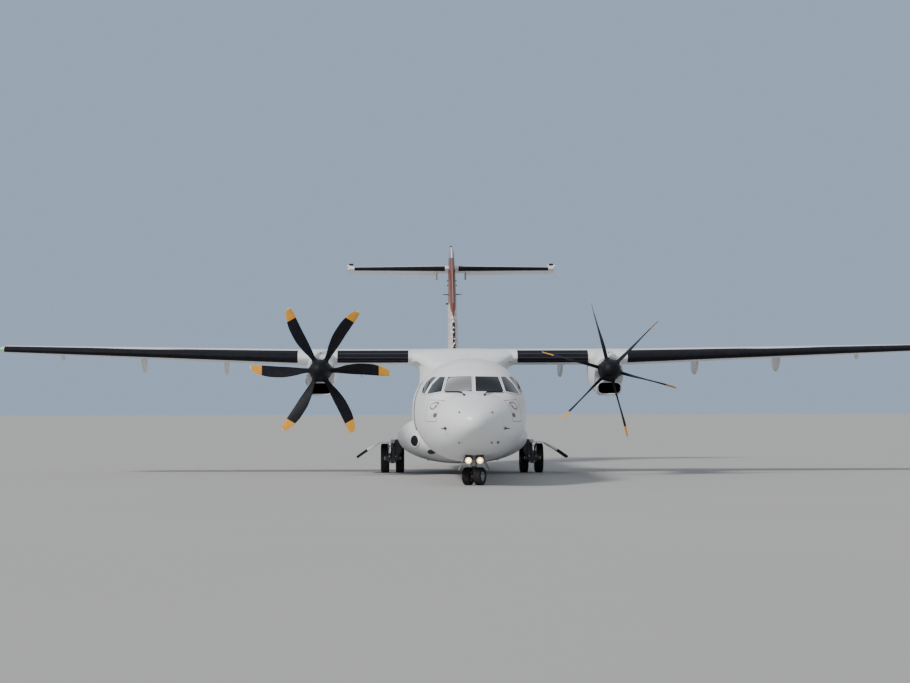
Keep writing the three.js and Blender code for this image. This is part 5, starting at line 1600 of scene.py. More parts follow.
def build_fin():
    """Fin and rudder cut from one shape, the rudder's round nose, a beacon, and small rods and studs."""
    red = finish("fin_red")
    heights = np.concatenate([spread([2900, 3250, 3650, 6700, 7420], 200), [7500, 7560, 7610, 7650]])
    whole = loft(fin_rings(heights))
    foot, head, gap = RUDDER["foot"], RUDDER["head"], RUNNING_GAP
    slope = (RUDDER["hinge"][1] - RUDDER["hinge"][0]) / (head - foot)
    hinge = lambda z: RUDDER["hinge"][0] + slope * (z - foot)
    nose = lambda z: RUDDER["nose"][0] + (RUDDER["nose"][1] - RUDDER["nose"][0]) * (z - foot) / (head - foot)
    far = FAR_AFT
    low, high = foot - gap, head + RUDDER["head_gap"]
    room = [
        [hinge(low) - nose(low) - gap, low], [far, low], [far, high], [hinge(high) - nose(high) - gap, high]
    ]
    fin = carved(solid(whole, red), [solid(prism(room, from_side, -500, 500), red)])
    add_piece("fin_skin", fin, "airframe", (), ["fin"])
    tail = [[hinge(foot), foot], [far, foot], [far, head], [hinge(head), head]]
    rudder = carved(solid(whole, red), [solid(prism(tail, from_side, -500, 500), red)], "INTERSECT")
    ends = [place(0, hinge(z), z) for z in (foot, head)]
    line = rod(*ends, nose(foot) * 0.001, nose(head) * 0.001, 40, 0.001)
    slab = solid(block(-500, 500, 20000, far, foot, head))
    bar = solid(part_of(carved(solid(line), [slab], "INTERSECT")), red)
    rudder = carved(rudder, [bar], "UNION")
    add_piece("rudder_skin", rudder, "rudder", (), ["rudder"])
    table = np.array(FIN, float)
    on_fin = lambda z: float(np.interp(z, table[:, 0], table[:, 1])) + 900
    rods = []
    for side, z in FIN_RODS:
        root, tip = place(side * 90, on_fin(z), z), place(side * 340, on_fin(z) - 40, z + 12)
        rods.append(rod(root, tip, 0.02, 0.009, 12))
    rods.append(rod(place(-150, on_fin(5540), 5540), place(-238, on_fin(5540), 5535), 0.026, 0.024, 12))
    for z in FIN_STUD_HEIGHTS:
        for side in (1, -1):
            rods.append(rod(place(side * 60, on_fin(z), z), place(side * 176, on_fin(z), z), 0.02, 0.017, 12))
    dress("fin_beacon", [turned(FIN_BEACON, place(*FIN_BEACON_SPOT), (0, 0, 1), 24)], "seal")
    dress("fin_rods_and_studs", rods, "seal")


def build_tailplane():
    """Stabiliser and elevators cut from one shape, with boots, static rods, horn edges and fittings."""
    white = finish("wing_white")
    marks = np.array([0.0, 3630, 3655, 3680, 3705, 3725])
    both = np.concatenate([-marks[::-1], marks[1:]])
    whole = loft(foil_rings(TAIL, both, camber=0, steps=30))
    hinge = lambda x: on_chord(x, ELEVATOR_START, TAIL)
    radius = lambda x: hinge(x)[2] * 0.36
    start, horn = ELEVATOR["from"], ELEVATOR["horn_from"]
    horn_station = on_chord(horn, ELEVATOR["horn_lead"], TAIL)[0]
    far, beyond, gap = FAR_AFT, ELEVATOR["to"] + 200, RUNNING_GAP

    def outline(side, grow):
        lead = lambda x: hinge(x)[0] - (radius(x) + grow if grow else 0)
        points = [
            [start - grow, far],
            [start - grow, lead(start)],
            [horn - grow, lead(horn)],
            [horn - grow, horn_station - grow],
            [beyond, horn_station - grow],
            [beyond, far],
        ]
        return [[side * a, b] for a, b in points]

    cutters = [solid(prism(outline(side, gap), from_above, 6400, 7300), white) for side in (1, -1)]
    middle = block(-start + gap, start - gap, hinge(0)[0] - TAIL_MIDDLE_CUT, far, 6400, 7300)
    stabiliser = carved(solid(whole, white), [*cutters, solid(middle, white)])
    add_piece("stabiliser_skin", stabiliser, "airframe", (), ["stabiliser"])
    for name, side in SIDES.items():
        cutter = solid(prism(outline(side, 0), from_above, 6400, 7300), white)
        elevator = carved(solid(whole, white), [cutter], "INTERSECT")
        ends = [place(side * v, hinge(v)[0], hinge(v)[1]) for v in (start, horn)]
        nose = rod(ends[0], ends[1], radius(start) * 0.001, radius(horn) * 0.001, 32, 0.001)
        elevator = carved(elevator, [solid(nose, white)], "UNION")
        droop = about(ends[0], (ends[1] - ends[0]) * side, -ELEVATOR_DROOP_DEG)
        elevator.transform(droop)
        body = f"elevator_{name}"
        add_piece(f"elevator_skin_{name}", elevator, body, (), [body])
        rods = []
        for x in ELEVATOR_ROD_PLACES:
            station, mid, _ = on_chord(x, 1.0, TAIL)
            root, tip = place(side * x, station - 30, mid), place(side * x, station - 1, mid)
            rods.append(rod(root, tip, 0.004, 0.003, 8, 0.0005))
        rods = mesh_of("rods", rods)
        rods.transform(droop)
        add_piece(f"elevator_static_rods_{name}", rods, body, [finish("seal")])
        leads = [on_chord(x, ELEVATOR["horn_lead"], TAIL)[0] + 8 for x in HORN_EDGE_PLACES]
        ridge = [place(side * x, lead, HORN_EDGE_HEIGHT) for x, lead in zip(HORN_EDGE_PLACES, leads)]
        ridge = mesh_of("ridge", [tube(curve(ridge, 12), [0.03] + [0.042] * 10 + [0.03], 14)])
        ridge.transform(droop)
        add_piece(f"elevator_horn_edge_{name}", ridge, body, [finish("seal")])
    bands = [nose_band(TAIL, side * spread([240, 3445], 380), 0.06, 0.085, 4, camber=0) for side in (1, -1)]
    add_bands("tailplane_boots", bands, "airframe", finish("boot"))
    base, x, half = hinge(520)[0], TAIL_FITTING["x"], TAIL_FITTING["half"]
    low, high = TAIL_FITTING["low"], TAIL_FITTING["high"]
    face = rounded_outline([[base - 420, low], [base - 60, low], [base + 10, high], [base - 520, high]], 40)
    fittings = [prism(face, from_side, side * x - half, side * x + half) for side in (1, -1)]
    dress("tailplane_fittings", fittings, "door_grey")


# Landing gear


def build_belly():
    """Belly fairing with a pod and an open wheel well on each side."""
    white, well = finish("plain_white"), finish("well_liner")
    stations = spread([row[0] for row in BELLY], 110)
    shell = solid(loft(body_rings(BELLY, stations, 96, roundness=BELLY_ROUNDNESS)), white)
    inner, outer, front, rear, floor, roof = WELL
    wells = [solid(block(side * inner, side * outer, front, rear, floor, roof), well) for side in (1, -1)]
    shell = carved(shell, wells)
    pads = [turned([(0, 0.045), (0.1, 0.045)], place(*pad), (0, 0, 1), 24) for pad in JACKING_PADS]
    add_piece("belly_fairing_skin", shell, "airframe", (), ["belly_fairing"], 30)
    front = on_front(-1, table=BELLY, reach=11800.0, roundness=BELLY_ROUNDNESS)
    upper, lower = round_mark(*POD_INLET), round_mark(*POD_OUTLET)
    # A near-black plate stands for the open inlet: painted shade.
    dress("pod_inlet_painted_shade", [plate(front, upper, 4, -8, 2)], "painted_shade_liner")
    ring = trim(front, upper, [(-8, -6), (-8, 26), (8, 34), (30, 18), (38, -6)])
    dress("pod_inlet_ring", [ring], "frame_white_painted_highlight")
    # A dark plate stands for the open outlet: painted shade.
    dress("pod_outlet_plate", [plate(front, lower, 5, -8, 2)], "leg_dark")
    dress("jacking_pads", pads, "steel")


def tyre_part(spec, centre, axle, along, grooves=4):
    """Tyre turned about its axle: a round shoulder, a flat tread with grooves, and a stepped side wall."""
    half, radius, rim = spec["width"] / 2, spec["radius"], spec["rim"]
    tread = []
    edge = half * 0.62
    for i in range(grooves):
        at = -edge + (i + 0.5) * 2 * edge / grooves
        tread += [(at - 9, radius), (at - 6, radius - 9), (at + 6, radius - 9), (at + 9, radius)]
    side = [
        (half * 0.8, rim),
        (half * 0.9, rim + 10),
        (half * 0.97, rim + (radius - rim) * 0.22),
        (half, rim + (radius - rim) * 0.5),
        (half * 0.985, rim + (radius - rim) * 0.68),
        (half * 0.93, rim + (radius - rim) * 0.84),
        (half * 0.82, radius * 0.978),
        (half * 0.7, radius * 0.996),
    ]
    left = [(-a, r) for a, r in side]
    loop = left + tread + side[::-1]
    profile = np.array([(a + along, r) for a, r in loop]) * 0.001
    return turned(profile, centre, axle, 72, looped=True)


def wheel_set(prefix, body, spec, centre, axle):
    """Twin tyres, rims with bolts and hub caps, and brake stacks on one axle."""
    centre, axle = np.asarray(centre), np.asarray(axle, float)
    half, radius, rim, apart = spec["width"] / 2, spec["radius"], spec["rim"], spec["spacing"] / 2
    along, across, up = axes_of(axle)
    metal, dark = [], []
    for label, sign in SIDES.items():
        tyre = tyre_part(spec, centre, axle, sign * apart, 4 if radius > 300 else 3)
        dress(f"{prefix}_tread_{label}", [tyre], "tyre", body, [f"{prefix}_tyre_{label}"], 40)
        scale, shift = [sign * half, rim], [sign * apart, 0]
        disc = np.array(WHEEL_DISC) * scale + shift
        disc[-1, 1] = HUB_POINT
        metal.append(turned(disc * 0.001, centre, axle, 56))
        out, circle = (sign * (apart + half * BOLT_CIRCLE[0])) * 0.001, rim * BOLT_CIRCLE[1] * 0.001
        for turn in 2 * math.pi * np.arange(WHEEL_BOLTS) / WHEEL_BOLTS:
            spot = across * math.cos(turn) + up * math.sin(turn)
            metal.append(turned(WHEEL_BOLT, centre + along * out + spot * circle, along * sign, 6, False))
        dark.append(turned((np.array(BRAKE_STACK) * scale + shift) * 0.001, centre, axle, 40))
    shaft = np.array([[-apart, spec["axle"]], [apart, spec["axle"]]]) * 0.001
    metal.append(turned(shaft, centre, axle, 32))
    dress(f"{prefix}_rims", metal, "rim", body, [f"{prefix}_hub"], 35)
    dress(f"{prefix}_brakes", dark, "brake", body)


def beam(stops):
    """Rounded bar through stops of (x, station, height, half width, half depth): rounded rectangles
    carried along the path and turned to its direction."""
    stops = np.asarray(stops, float)
    path = place(*stops[:, :3].T)
    along = np.gradient(path, axis=0)
    along /= np.linalg.norm(along, axis=1)[:, None]
    across = np.cross(along, np.cross(np.array([1.0, 0.0, 0.0]), along))
    across /= np.linalg.norm(across, axis=1)[:, None]
    square = rounded_outline([[-1, -1], [1, -1], [1, 1], [-1, 1]], 0.45, per_corner=5, per_side=2)
    wide = stops[:, 3, None, None] * 0.001 * square[None, :, :1] * across[:, None]
    deep = stops[:, 4, None, None] * 0.001 * square[None, :, 1:] * np.cross(along, across)[:, None]
    return loft(path[:, None] + wide + deep)


def leg_bar(side, rows):
    """Bar of a main leg through rows counted from its foot."""
    foot = MAIN_LEG_FOOT
    stops = []
    for inboard, aft, above, half, deep in rows:
        stops.append(
            [side * (MAIN["x"] - inboard), foot["station"] + aft, foot["height"] + above, half, deep]
        )
    return beam(stops)


def build_main_gear():
    """Each main leg: a cast leg that leans in to the pod, a hinge across its foot, a trailing arm to the
    axle, and a shock strut behind, with hoses, bolts and a thin rod up to the door."""
    foot, pivot = MAIN_LEG_FOOT, MAIN_PIVOT
    front, rear, height = pivot["front"], pivot["rear"], pivot["height"]
    half = np.array([foot["half"] * 0.001, 0, 0])
    for name, side in SIDES.items():
        x = side * MAIN["x"]
        axle = place(x, MAIN["station"], MAIN["radius"])
        hinge = place(x, foot["station"], foot["height"])
        grey, bolts, hoses = [], [], []
        for station, radius in ((front, 0.054), (rear, 0.042)):
            ends = [place(side * pivot[end], station, height) for end in ("inner", "outer")]
            grey.append(rod(*ends, radius, None, 32, 0.006))
        cast = [leg_bar(side, LEG_CASTING), leg_bar(side, TRAILING_ARM)]
        cast.append(rod(hinge - half, hinge + half, 0.078, None, 40, 0.014))
        for lift, wide in HINGE_ROLLS:
            spot, reach = place(x, foot["station"] - 20, foot["height"] + lift), half * wide / foot["half"]
            cast.append(rod(spot - reach, spot + reach, 0.052, None, 28, 0.01))
        for end in (-1, 1):
            bolts.append(turned(HINGE_CAP, hinge + half * end, (end, 0, 0), 28, False))
            for out, aft, above, length, radius in HINGE_LUGS:
                lug = place(x + end * out, foot["station"] + aft, foot["height"] + above)
                bolts.append(rod(lug, lug + [0, -length, 0], radius, radius - 0.004, 20, 0.004))
        knee, top = place(x, MAIN["station"] + 60, MAIN["radius"] + 60), place(x, rear, height)
        drop = knee - top
        middle = top + drop * 0.5
        grey.append(rod(top, middle, 0.05, 0.052, 32, 0.006))
        grey.append(rod(middle - drop * 0.03, middle + drop * 0.02, 0.06, 0.06, 32, 0.006))
        grey.append(rod(axle - [0.064, 0, 0], axle + [0.064, 0, 0], 0.092, None, 40, 0.01))
        shine = [rod(middle, knee, 0.034, 0.034, 28)]
        low, high = place(
            x + side * 90, foot["station"], foot["height"] + 60
        ), place(x + side * 130, front - 60, 890)
        shine.append(rod(low, high, 0.016, 0.014, 14))
        for offset in HOSE_PLACES:
            path = [
                hinge + [offset * 1.2, -0.1, 0.02],
                hinge + [offset * 1.5, -0.12, 0.16],
                hinge + [offset - side * 0.02, -0.06, 0.34],
                place(x - side * 120 + offset * 400, front - 90, height - 20),
            ]
            hoses.append(tube(curve(path, 24), 0.011, 8))
        replaced = [f"main_leg_{name}"]
        # The castings are near-black: painted shade under the pods.
        dress(f"main_leg_casting_{name}", cast, "leg_dark", "airframe", replaced, 40)
        dress(f"main_leg_struts_{name}", grey, "leg_grey")
        dress(f"main_leg_piston_{name}", shine, "chrome")
        dress(f"main_leg_bolts_{name}", bolts, "steel")
        dress(f"main_leg_hoses_{name}", hoses, "hose")
        wheel_set(f"main_{name}", f"main_wheels_{name}", MAIN, axle, (1, 0, 0))
        build_main_door(name, side)


def build_main_door(name, side):
    """Curved gear door: the door's line swept along the body, with a dark rubber edge at its tip."""
    line = np.array(MAIN_DOOR, float)
    reach = np.concatenate([[0], np.cumsum(np.hypot(*np.diff(line, axis=0).T))])
    fine = through_rows(np.column_stack([reach, line]), np.linspace(0, reach[-1], 34))
    along = np.gradient(fine, axis=0)
    along /= np.linalg.norm(along, axis=1)[:, None]
    normal = np.stack([-along[:, 1], along[:, 0]], -1)
    thick = np.interp(fine[:, 0], *MAIN_DOOR_PANEL)[:, None]
    under = fine - normal * thick
    loop = np.concatenate([fine, under[::-1]])
    front, rear = MAIN_DOOR_ENDS
    ends = np.concatenate([[front], np.linspace(front + 12, rear - 12, 12), [rear]])
    middle = (fine + under) / 2
    middle = np.concatenate([middle, middle[::-1]])
    rings = []
    for station in ends:
        inset = 5 if station in (front, rear) else 0
        ring = loop + (middle - loop) * (inset / 11)
        rings.append(place(side * ring[:, 0], station, ring[:, 1]))
    white = finish("plain_white")
    cut = block(side * 1900, side * 2105, MAIN_PIVOT["front"] - 80, MAIN_PIVOT["rear"] + 80, 800, 1000)
    leaf = carved(solid(loft(rings), white), [solid(cut, white)])
    add_piece(f"main_door_leaf_{name}", leaf, "airframe", (), [f"main_door_{name}"])
    outer = fine[:, 0] > MAIN_DOOR_DARK_FROM
    edge = fine[outer]
    slope = np.gradient(edge, axis=0)
    lift = np.stack([-slope[:, 1], slope[:, 0]], -1)
    lift /= np.linalg.norm(lift, axis=1)[:, None]
    over, below = edge + lift * 3, edge - lift * (thick[outer] + 3)
    band = np.concatenate([over, below[::-1]])
    stations = (front - 3, (front + rear) / 2, rear + 3)
    rubber_edge = loft([place(side * band[:, 0], station, band[:, 1]) for station in stations])
    dress(f"main_door_edge_{name}", [rubber_edge], "seal")


def build_nose_gear():
    """Nose leg with its brace and two landing lamps, the steered fork with its wheels, and the two
    doors."""
    station, pin = NOSE["station"], NOSE_PIN
    grey = [turned(NOSE_LEG, place(0, station, 470), (0, 0, 1), 40)]
    grey.append(rod(place(0, station + 30, 640), place(0, pin["station"], pin["height"]), 0.034, None, 28))
    ends = [place(end * pin["half"], pin["station"], pin["height"]) for end in (-1, 1)]
    grey.append(rod(*ends, 0.026, None, 24))
    grey.append(turned([(-0.02, 0.086), (0.02, 0.086)], place(0, station, 620), (0, 0, 1), 40))
    lamps, rims, shells = [], [], []
    low, high = LAMP_BAR
    for side in (1, -1):
        x = side * LAMP["x"]
        face, aft = place(x, LAMP["front"], LAMP["height"]), (0, 1, 0)
        shells.append(turned(LAMP_SHELL, face, aft, 40, False))
        shells.append(turned(LAMP_HOOD, face, aft, 40, looped=True))
        lamps.append(turned(LAMP_GLASS, face, aft, 40, False))
        rims.append(turned(LAMP_RIM, face, aft, 40, looped=True))
        bar = rounded_outline([[0, low], [x, low], [x, high], [0, high]], 8)
        grey.append(prism(bar, from_front, LAMP["rear"] - 20, station))
    dress("nose_leg_struts", grey, "leg_grey", "airframe", ["nose_leg"])
    dress("landing_lamp_shells", shells, "rim")
    lit = [dress("landing_lamp_glass", lamps, "lamp"), dress("landing_lamp_rims", rims, "lamp_rim")]
    for piece in lit:
        piece.visible_glossy = piece.visible_diffuse = False
    build_nose_fork()
    for name, side in SIDES.items():
        build_nose_door(name, side)


def build_nose_fork():
    """Steered fork turned to its angle, with its links and wheels."""
    turn = math.radians(NOSE_STEER_DEG)
    right = np.array([math.cos(turn), math.sin(turn), 0.0])
    ahead = np.array([math.sin(turn), -math.cos(turn), 0.0])
    up = np.array([0.0, 0.0, 1.0])
    centre = place(0, NOSE["station"], NOSE["radius"])
    fork = [
        rod(centre, centre + up * 0.3665, 0.05, None, 32),
        rod(centre - right * 0.044, centre + right * 0.044, 0.066, None, 36, 0.006),
    ]
    face = np.array(FORK_FACE) * 0.001
    flat = centre + face[:, :1] * right + face[:, 1:] * ahead
    fork.append(loft([flat - up * 0.03, flat + up * 0.03]))
    for link in FORK_LINKS:
        start, end = (centre + right * p[0] + ahead * p[1] + up * p[2] for p in link)
        fork.append(rod(start, end, 0.018, None, 14))
    dress("nose_fork_struts", fork, "leg_dark", "nose_steered", ["nose_fork"])
    wheel_set("nose", "nose_wheels", NOSE, centre, right)


def build_nose_door(name, side):
    """Small splayed door: a thin panel that leans out below the bay's edge."""
    edge, rings = BAY[0] - 0.5, []
    for station, belly in NOSE_DOOR:
        pinch = 3 if station in (NOSE_DOOR[0][0], NOSE_DOOR[-1][0]) else 0
        points = [
            [edge - 14 + pinch, belly + 24],
            [edge - pinch, belly + 24],
            [edge - pinch, belly - 24],
            [385 - pinch, 376 + pinch],
            [371 + pinch, 372 + pinch],
            [edge - 14 + pinch, belly - 30],
        ]
        x, z = np.array(points).T
        rings.append(place(side * x, station, z))
    replaced = [f"nose_door_{name}"]
    dress(f"nose_door_leaf_{name}", [loft(rings)], "nose_door", "airframe", replaced)


# Stage


def glass_lit_from_above():
    """The one pane that shows the overhead softbox."""
    name = "softbox panes"
    return bpy.data.collections.get(name) or bpy.data.collections.new(name)


def build_stage():
    """Pale floor, an even surround, a low sun through haze and one overhead softbox."""
    look = bpy.context.scene.airliner_stage
    size = look.floor_size
    floor = bpy.data.meshes.new("floor")
    floor.from_pydata(
        [(-size, -size, 0), (size, -size, 0), (size, size, 0), (-size, size, 0)], [], [(0, 1, 2, 3)]
    )
    floor.materials.append(apron("Pale apron", tuple(look.floor_color)))
    ground = bpy.data.objects.new("studio_floor", floor)
    ground.location.z = -0.002
    bpy.context.scene.collection.objects.link(ground)
    world = bpy.data.worlds.new("Soft studio")
    world.use_nodes = True
    tree = world.node_tree
    sky, seen = tree.nodes["Background"], tree.nodes.new("ShaderNodeBackground")
    sky.inputs[0].default_value = (*look.sky_color, 1)
    sky.inputs[1].default_value = look.sky_strength
    seen.inputs[0].default_value = (*look.backdrop, 1)
    ray, mix = tree.nodes.new("ShaderNodeLightPath"), tree.nodes.new("ShaderNodeMixShader")
    tree.links.new(ray.outputs["Is Camera Ray"], mix.inputs[0])
    tree.links.new(sky.outputs[0], mix.inputs[1])
    tree.links.new(seen.outputs[0], mix.inputs[2])
    tree.links.new(mix.outputs[0], tree.nodes["World Output"].inputs[0])
    bpy.context.scene.world = world
    sun = bpy.data.lights.new("soft_sun", "SUN")
    sun.energy, sun.angle, sun.color = look.sun_strength, look.sun_softness, tuple(look.sun_color)
    softbox = bpy.data.lights.new("overhead_softbox", "AREA")
    softbox.size, softbox.energy = look.softbox_size, look.softbox_power
    for data, spot, target in ((sun, look.sun_from, (0, 0, 0)), (softbox, look.softbox_place, (0, -8, 2))):
        lamp = bpy.data.objects.new(data.name, data)
        lamp.location = spot
        lamp.rotation_euler = (Vector(target) - Vector(spot)).to_track_quat("-Z", "Y").to_euler()
        bpy.context.scene.collection.objects.link(lamp)
    lamp.light_linking.receiver_collection = glass_lit_from_above()
    build_camera(look)


def build_camera(look):
    """Camera at the photograph's viewpoint: heading, tilt and roll turn its right, ahead and up
    directions."""
    heading, tilt, roll = look.camera_heading, look.camera_tilt, look.camera_roll
    right = Vector((math.cos(heading), math.sin(heading), 0))
    ahead = Vector((-math.sin(heading), math.cos(heading), 0))
    up = Vector((0, 0, 1))
    ahead, up = ahead * math.cos(tilt) + up * math.sin(tilt), up * math.cos(tilt) - ahead * math.sin(tilt)
    right, up = right * math.cos(roll) + up * math.sin(roll), up * math.cos(roll) - right * math.sin(roll)
    data = bpy.data.cameras.new("photo_camera")
    data.lens, data.sensor_width = look.lens, 36
    data.clip_start, data.clip_end = 1, 2000
    camera = bpy.data.objects.new("photo_camera", data)
    turn = Matrix((right, up, -ahead)).transposed()
    camera.matrix_world = Matrix.Translation(look.camera_place) @ turn.to_4x4()
    bpy.context.scene.collection.objects.link(camera)
    bpy.context.scene.camera = camera


# Add-on


class AirlinerLooks(bpy.types.PropertyGroup):
    white: FloatVectorProperty(
        name="White",
        description="Colour of the body paint",
        subtype="COLOR",
        default=(0.8, 0.81, 0.82),
        min=0,
        max=1,
    )
    fin_red: FloatVectorProperty(
        name="Fin red",
        description="Colour of the fin and rudder",
        subtype="COLOR",
        default=(0.17, 0.046, 0.032),
        min=0,
        max=1,
    )
    blade_band: FloatVectorProperty(
        name="Blade band",
        description="Colour of the band near each blade's tip",
        subtype="COLOR",
        default=(0.78, 0.36, 0.04),
        min=0,
        max=1,
    )
    grime: FloatProperty(
        name="Grime",
        description="How dark the soft streaks of dirt are",
        default=0.22,
        min=0,
        max=1,
        subtype="FACTOR",
    )
    lamp_strength: FloatProperty(
        name="Lamp strength", description="Brightness of the two landing lamps", default=4.5, min=0
    )


class AirlinerDetails(bpy.types.PropertyGroup):
    boot_thickness: FloatProperty(
        name="Boot thickness",
        description="How far the de-icing rubber stands proud",
        default=0.004,
        unit="LENGTH",
        min=0,
    )
    boot_upper: FloatProperty(
        name="Boot above",
        description="Share of the chord that the rubber covers above",
        default=0.13,
        min=0,
        max=0.3,
        subtype="FACTOR",
    )
    boot_lower: FloatProperty(
        name="Boot below",
        description="Share of the chord that the rubber covers below",
        default=0.06,
        min=0,
        max=0.3,
        subtype="FACTOR",
    )
    first_window: IntProperty(
        name="First window", description="Station of the first cabin window in millimetres", default=6620
    )
    last_window: IntProperty(
        name="Last window",
        description="Station that the cabin windows stop before, in millimetres",
        default=18700,
    )
    window_pitch: IntProperty(
        name="Window pitch", description="Distance between cabin windows in millimetres", default=790
    )


class AirlinerStage(bpy.types.PropertyGroup):
    floor_size: FloatProperty(
        name="Floor half size", description="Half the width of the floor", default=600.0, unit="LENGTH"
    )
    floor_color: FloatVectorProperty(
        name="Floor",
        description="Colour of the floor",
        subtype="COLOR",
        default=(0.4, 0.395, 0.385),
        min=0,
        max=1,
    )
    sky_color: FloatVectorProperty(
        name="Surround",
        description="Colour of the soft surround",
        subtype="COLOR",
        default=(0.78, 0.85, 0.94),
        min=0,
        max=1,
    )
    sky_strength: FloatProperty(
        name="Surround strength", description="Brightness of the surround", default=0.62, min=0
    )
    backdrop: FloatVectorProperty(
        name="Backdrop",
        description="Colour of the surround behind the object",
        subtype="COLOR",
        default=(0.34, 0.45, 0.6),
        min=0,
        max=1,
    )
    sun_strength: FloatProperty(
        name="Sun strength", description="Brightness of the hazy sun", default=3.3, min=0
    )
    sun_softness: FloatProperty(
        name="Sun softness",
        description="Angle that the hazy sun fills",
        default=math.radians(10),
        subtype="ANGLE",
    )
    sun_color: FloatVectorProperty(
        name="Sun colour",
        description="Colour of the hazy sun",
        subtype="COLOR",
        default=(1.0, 0.965, 0.92),
        min=0,
        max=1,
    )
    sun_from: FloatVectorProperty(
        name="Sun from",
        description="Direction that the hazy sun shines from",
        subtype="XYZ",
        default=(-0.72, -0.5, 0.7),
    )
    softbox_size: FloatProperty(
        name="Softbox size", description="Width of the overhead softbox", default=40.0, unit="LENGTH"
    )
    softbox_power: FloatProperty(
        name="Softbox power", description="Power of the overhead softbox", default=20000.0, unit="POWER"
    )
    softbox_place: FloatVectorProperty(
        name="Softbox place",
        description="Where the overhead softbox hangs",
        subtype="TRANSLATION",
        default=(-16.0, -2.0, 40.0),
    )
    camera_place: FloatVectorProperty(
        name="Camera place",
        description="Where the camera stands",
        subtype="TRANSLATION",
        default=(-1.8, -66.0523, 1.8943),
    )
    camera_heading: FloatProperty(
        name="Camera heading",
        description="Turn of the camera from the aircraft's axis",
        default=math.radians(-1.413),
        subtype="ANGLE",
    )
    camera_tilt: FloatProperty(
        name="Camera tilt",
        description="How far the camera looks up",
        default=math.radians(1.7442),
        subtype="ANGLE",
    )
    camera_roll: FloatProperty(
        name="Camera roll", description="Lean of the camera", default=math.radians(-0.1272), subtype="ANGLE"
    )
    lens: FloatProperty(
        name="Lens", description="Focal length on a 36 mm sensor, in millimetres", default=86.88
    )


class AirlinerStep:
    """What the operators share."""

    bl_options = {"REGISTER", "UNDO"}


class AIRLINER_OT_stage(AirlinerStep, bpy.types.Operator):
    """Add the floor, the lights and the camera"""

    bl_idname = "airliner.stage"
    bl_label = "Stage"

    def execute(self, context):
        build_stage()
        return {"FINISHED"}


class AIRLINER_OT_fuselage_skin(AirlinerStep, bpy.types.Operator):
    """Add the fuselage with its doorways and nose bay"""

    bl_idname = "airliner.fuselage_skin"
    bl_label = "Fuselage skin"

    def execute(self, context):
        build_fuselage()
        return {"FINISHED"}


class AIRLINER_OT_flight_deck(AirlinerStep, bpy.types.Operator):
    """Add the six panes, their frames and the wipers"""

    bl_idname = "airliner.flight_deck"
    bl_label = "Flight deck panes"

    def execute(self, context):
        build_panes()
        return {"FINISHED"}


class AIRLINER_OT_cabin_windows(AirlinerStep, bpy.types.Operator):
    """Add the rows of cabin windows"""

    bl_idname = "airliner.cabin_windows"
    bl_label = "Cabin windows"

    def execute(self, context):
        build_cabin_windows()
        return {"FINISHED"}


class AIRLINER_OT_fixed_doors(AirlinerStep, bpy.types.Operator):
    """Add the service door and the emergency exits"""

    bl_idname = "airliner.fixed_doors"
    bl_label = "Fixed doors"

    def execute(self, context):
        build_fixed_doors()
        return {"FINISHED"}


class AIRLINER_OT_nose_details(AirlinerStep, bpy.types.Operator):
    """Add the latches, probes and port plates of the nose"""

    bl_idname = "airliner.nose_details"
    bl_label = "Nose details"

    def execute(self, context):
        build_nose_details()
        return {"FINISHED"}


class AIRLINER_OT_body_details(AirlinerStep, bpy.types.Operator):
    """Add the ice guards, aerials and beacons"""

    bl_idname = "airliner.body_details"
    bl_label = "Body details"

    def execute(self, context):
        build_body_details()
        return {"FINISHED"}


class AIRLINER_OT_swinging_doors(AirlinerStep, bpy.types.Operator):
    """Add the cargo door and the airstair"""

    bl_idname = "airliner.swinging_doors"
    bl_label = "Swinging doors"

    def execute(self, context):
        build_doors()
        return {"FINISHED"}


class AIRLINER_OT_wing(AirlinerStep, bpy.types.Operator):
    """Add the wing with its flaps and ailerons"""

    bl_idname = "airliner.wing"
    bl_label = "Wing"

    def execute(self, context):
        build_wing()
        return {"FINISHED"}


class AIRLINER_OT_wing_boots(AirlinerStep, bpy.types.Operator):
    """Add the de-icing rubber of the wing"""

    bl_idname = "airliner.wing_boots"
    bl_label = "Wing boots"

    def execute(self, context):
        build_boots()
        return {"FINISHED"}


class AIRLINER_OT_wing_fairing(AirlinerStep, bpy.types.Operator):
    """Add the fairing between the wing and the body"""

    bl_idname = "airliner.wing_fairing"
    bl_label = "Wing fairing"

    def execute(self, context):
        build_saddle()
        return {"FINISHED"}


class AIRLINER_OT_wing_details(AirlinerStep, bpy.types.Operator):
    """Add the tip lamps and static rods"""

    bl_idname = "airliner.wing_details"
    bl_label = "Wing details"

    def execute(self, context):
        build_wing_details()
        return {"FINISHED"}


class AIRLINER_OT_nacelles(AirlinerStep, bpy.types.Operator):
    """Add the nacelles, intakes and exhaust pipes"""

    bl_idname = "airliner.nacelles"
    bl_label = "Nacelles"

    def execute(self, context):
        build_nacelles()
        return {"FINISHED"}


class AIRLINER_OT_propellers(AirlinerStep, bpy.types.Operator):
    """Add the blades and spinners"""

    bl_idname = "airliner.propellers"
    bl_label = "Propellers"

    def execute(self, context):
        build_propellers()
        return {"FINISHED"}


class AIRLINER_OT_fin(AirlinerStep, bpy.types.Operator):
    """Add the fin and the rudder"""

    bl_idname = "airliner.fin"
    bl_label = "Fin"

    def execute(self, context):
        build_fin()
        return {"FINISHED"}


class AIRLINER_OT_tailplane(AirlinerStep, bpy.types.Operator):
    """Add the stabiliser and the elevators"""

    bl_idname = "airliner.tailplane"
    bl_label = "Tailplane"

    def execute(self, context):
        build_tailplane()
        return {"FINISHED"}


class AIRLINER_OT_belly(AirlinerStep, bpy.types.Operator):
    """Add the belly fairing with its wheel wells"""

    bl_idname = "airliner.belly"
    bl_label = "Belly fairing"

    def execute(self, context):
        build_belly()
        return {"FINISHED"}


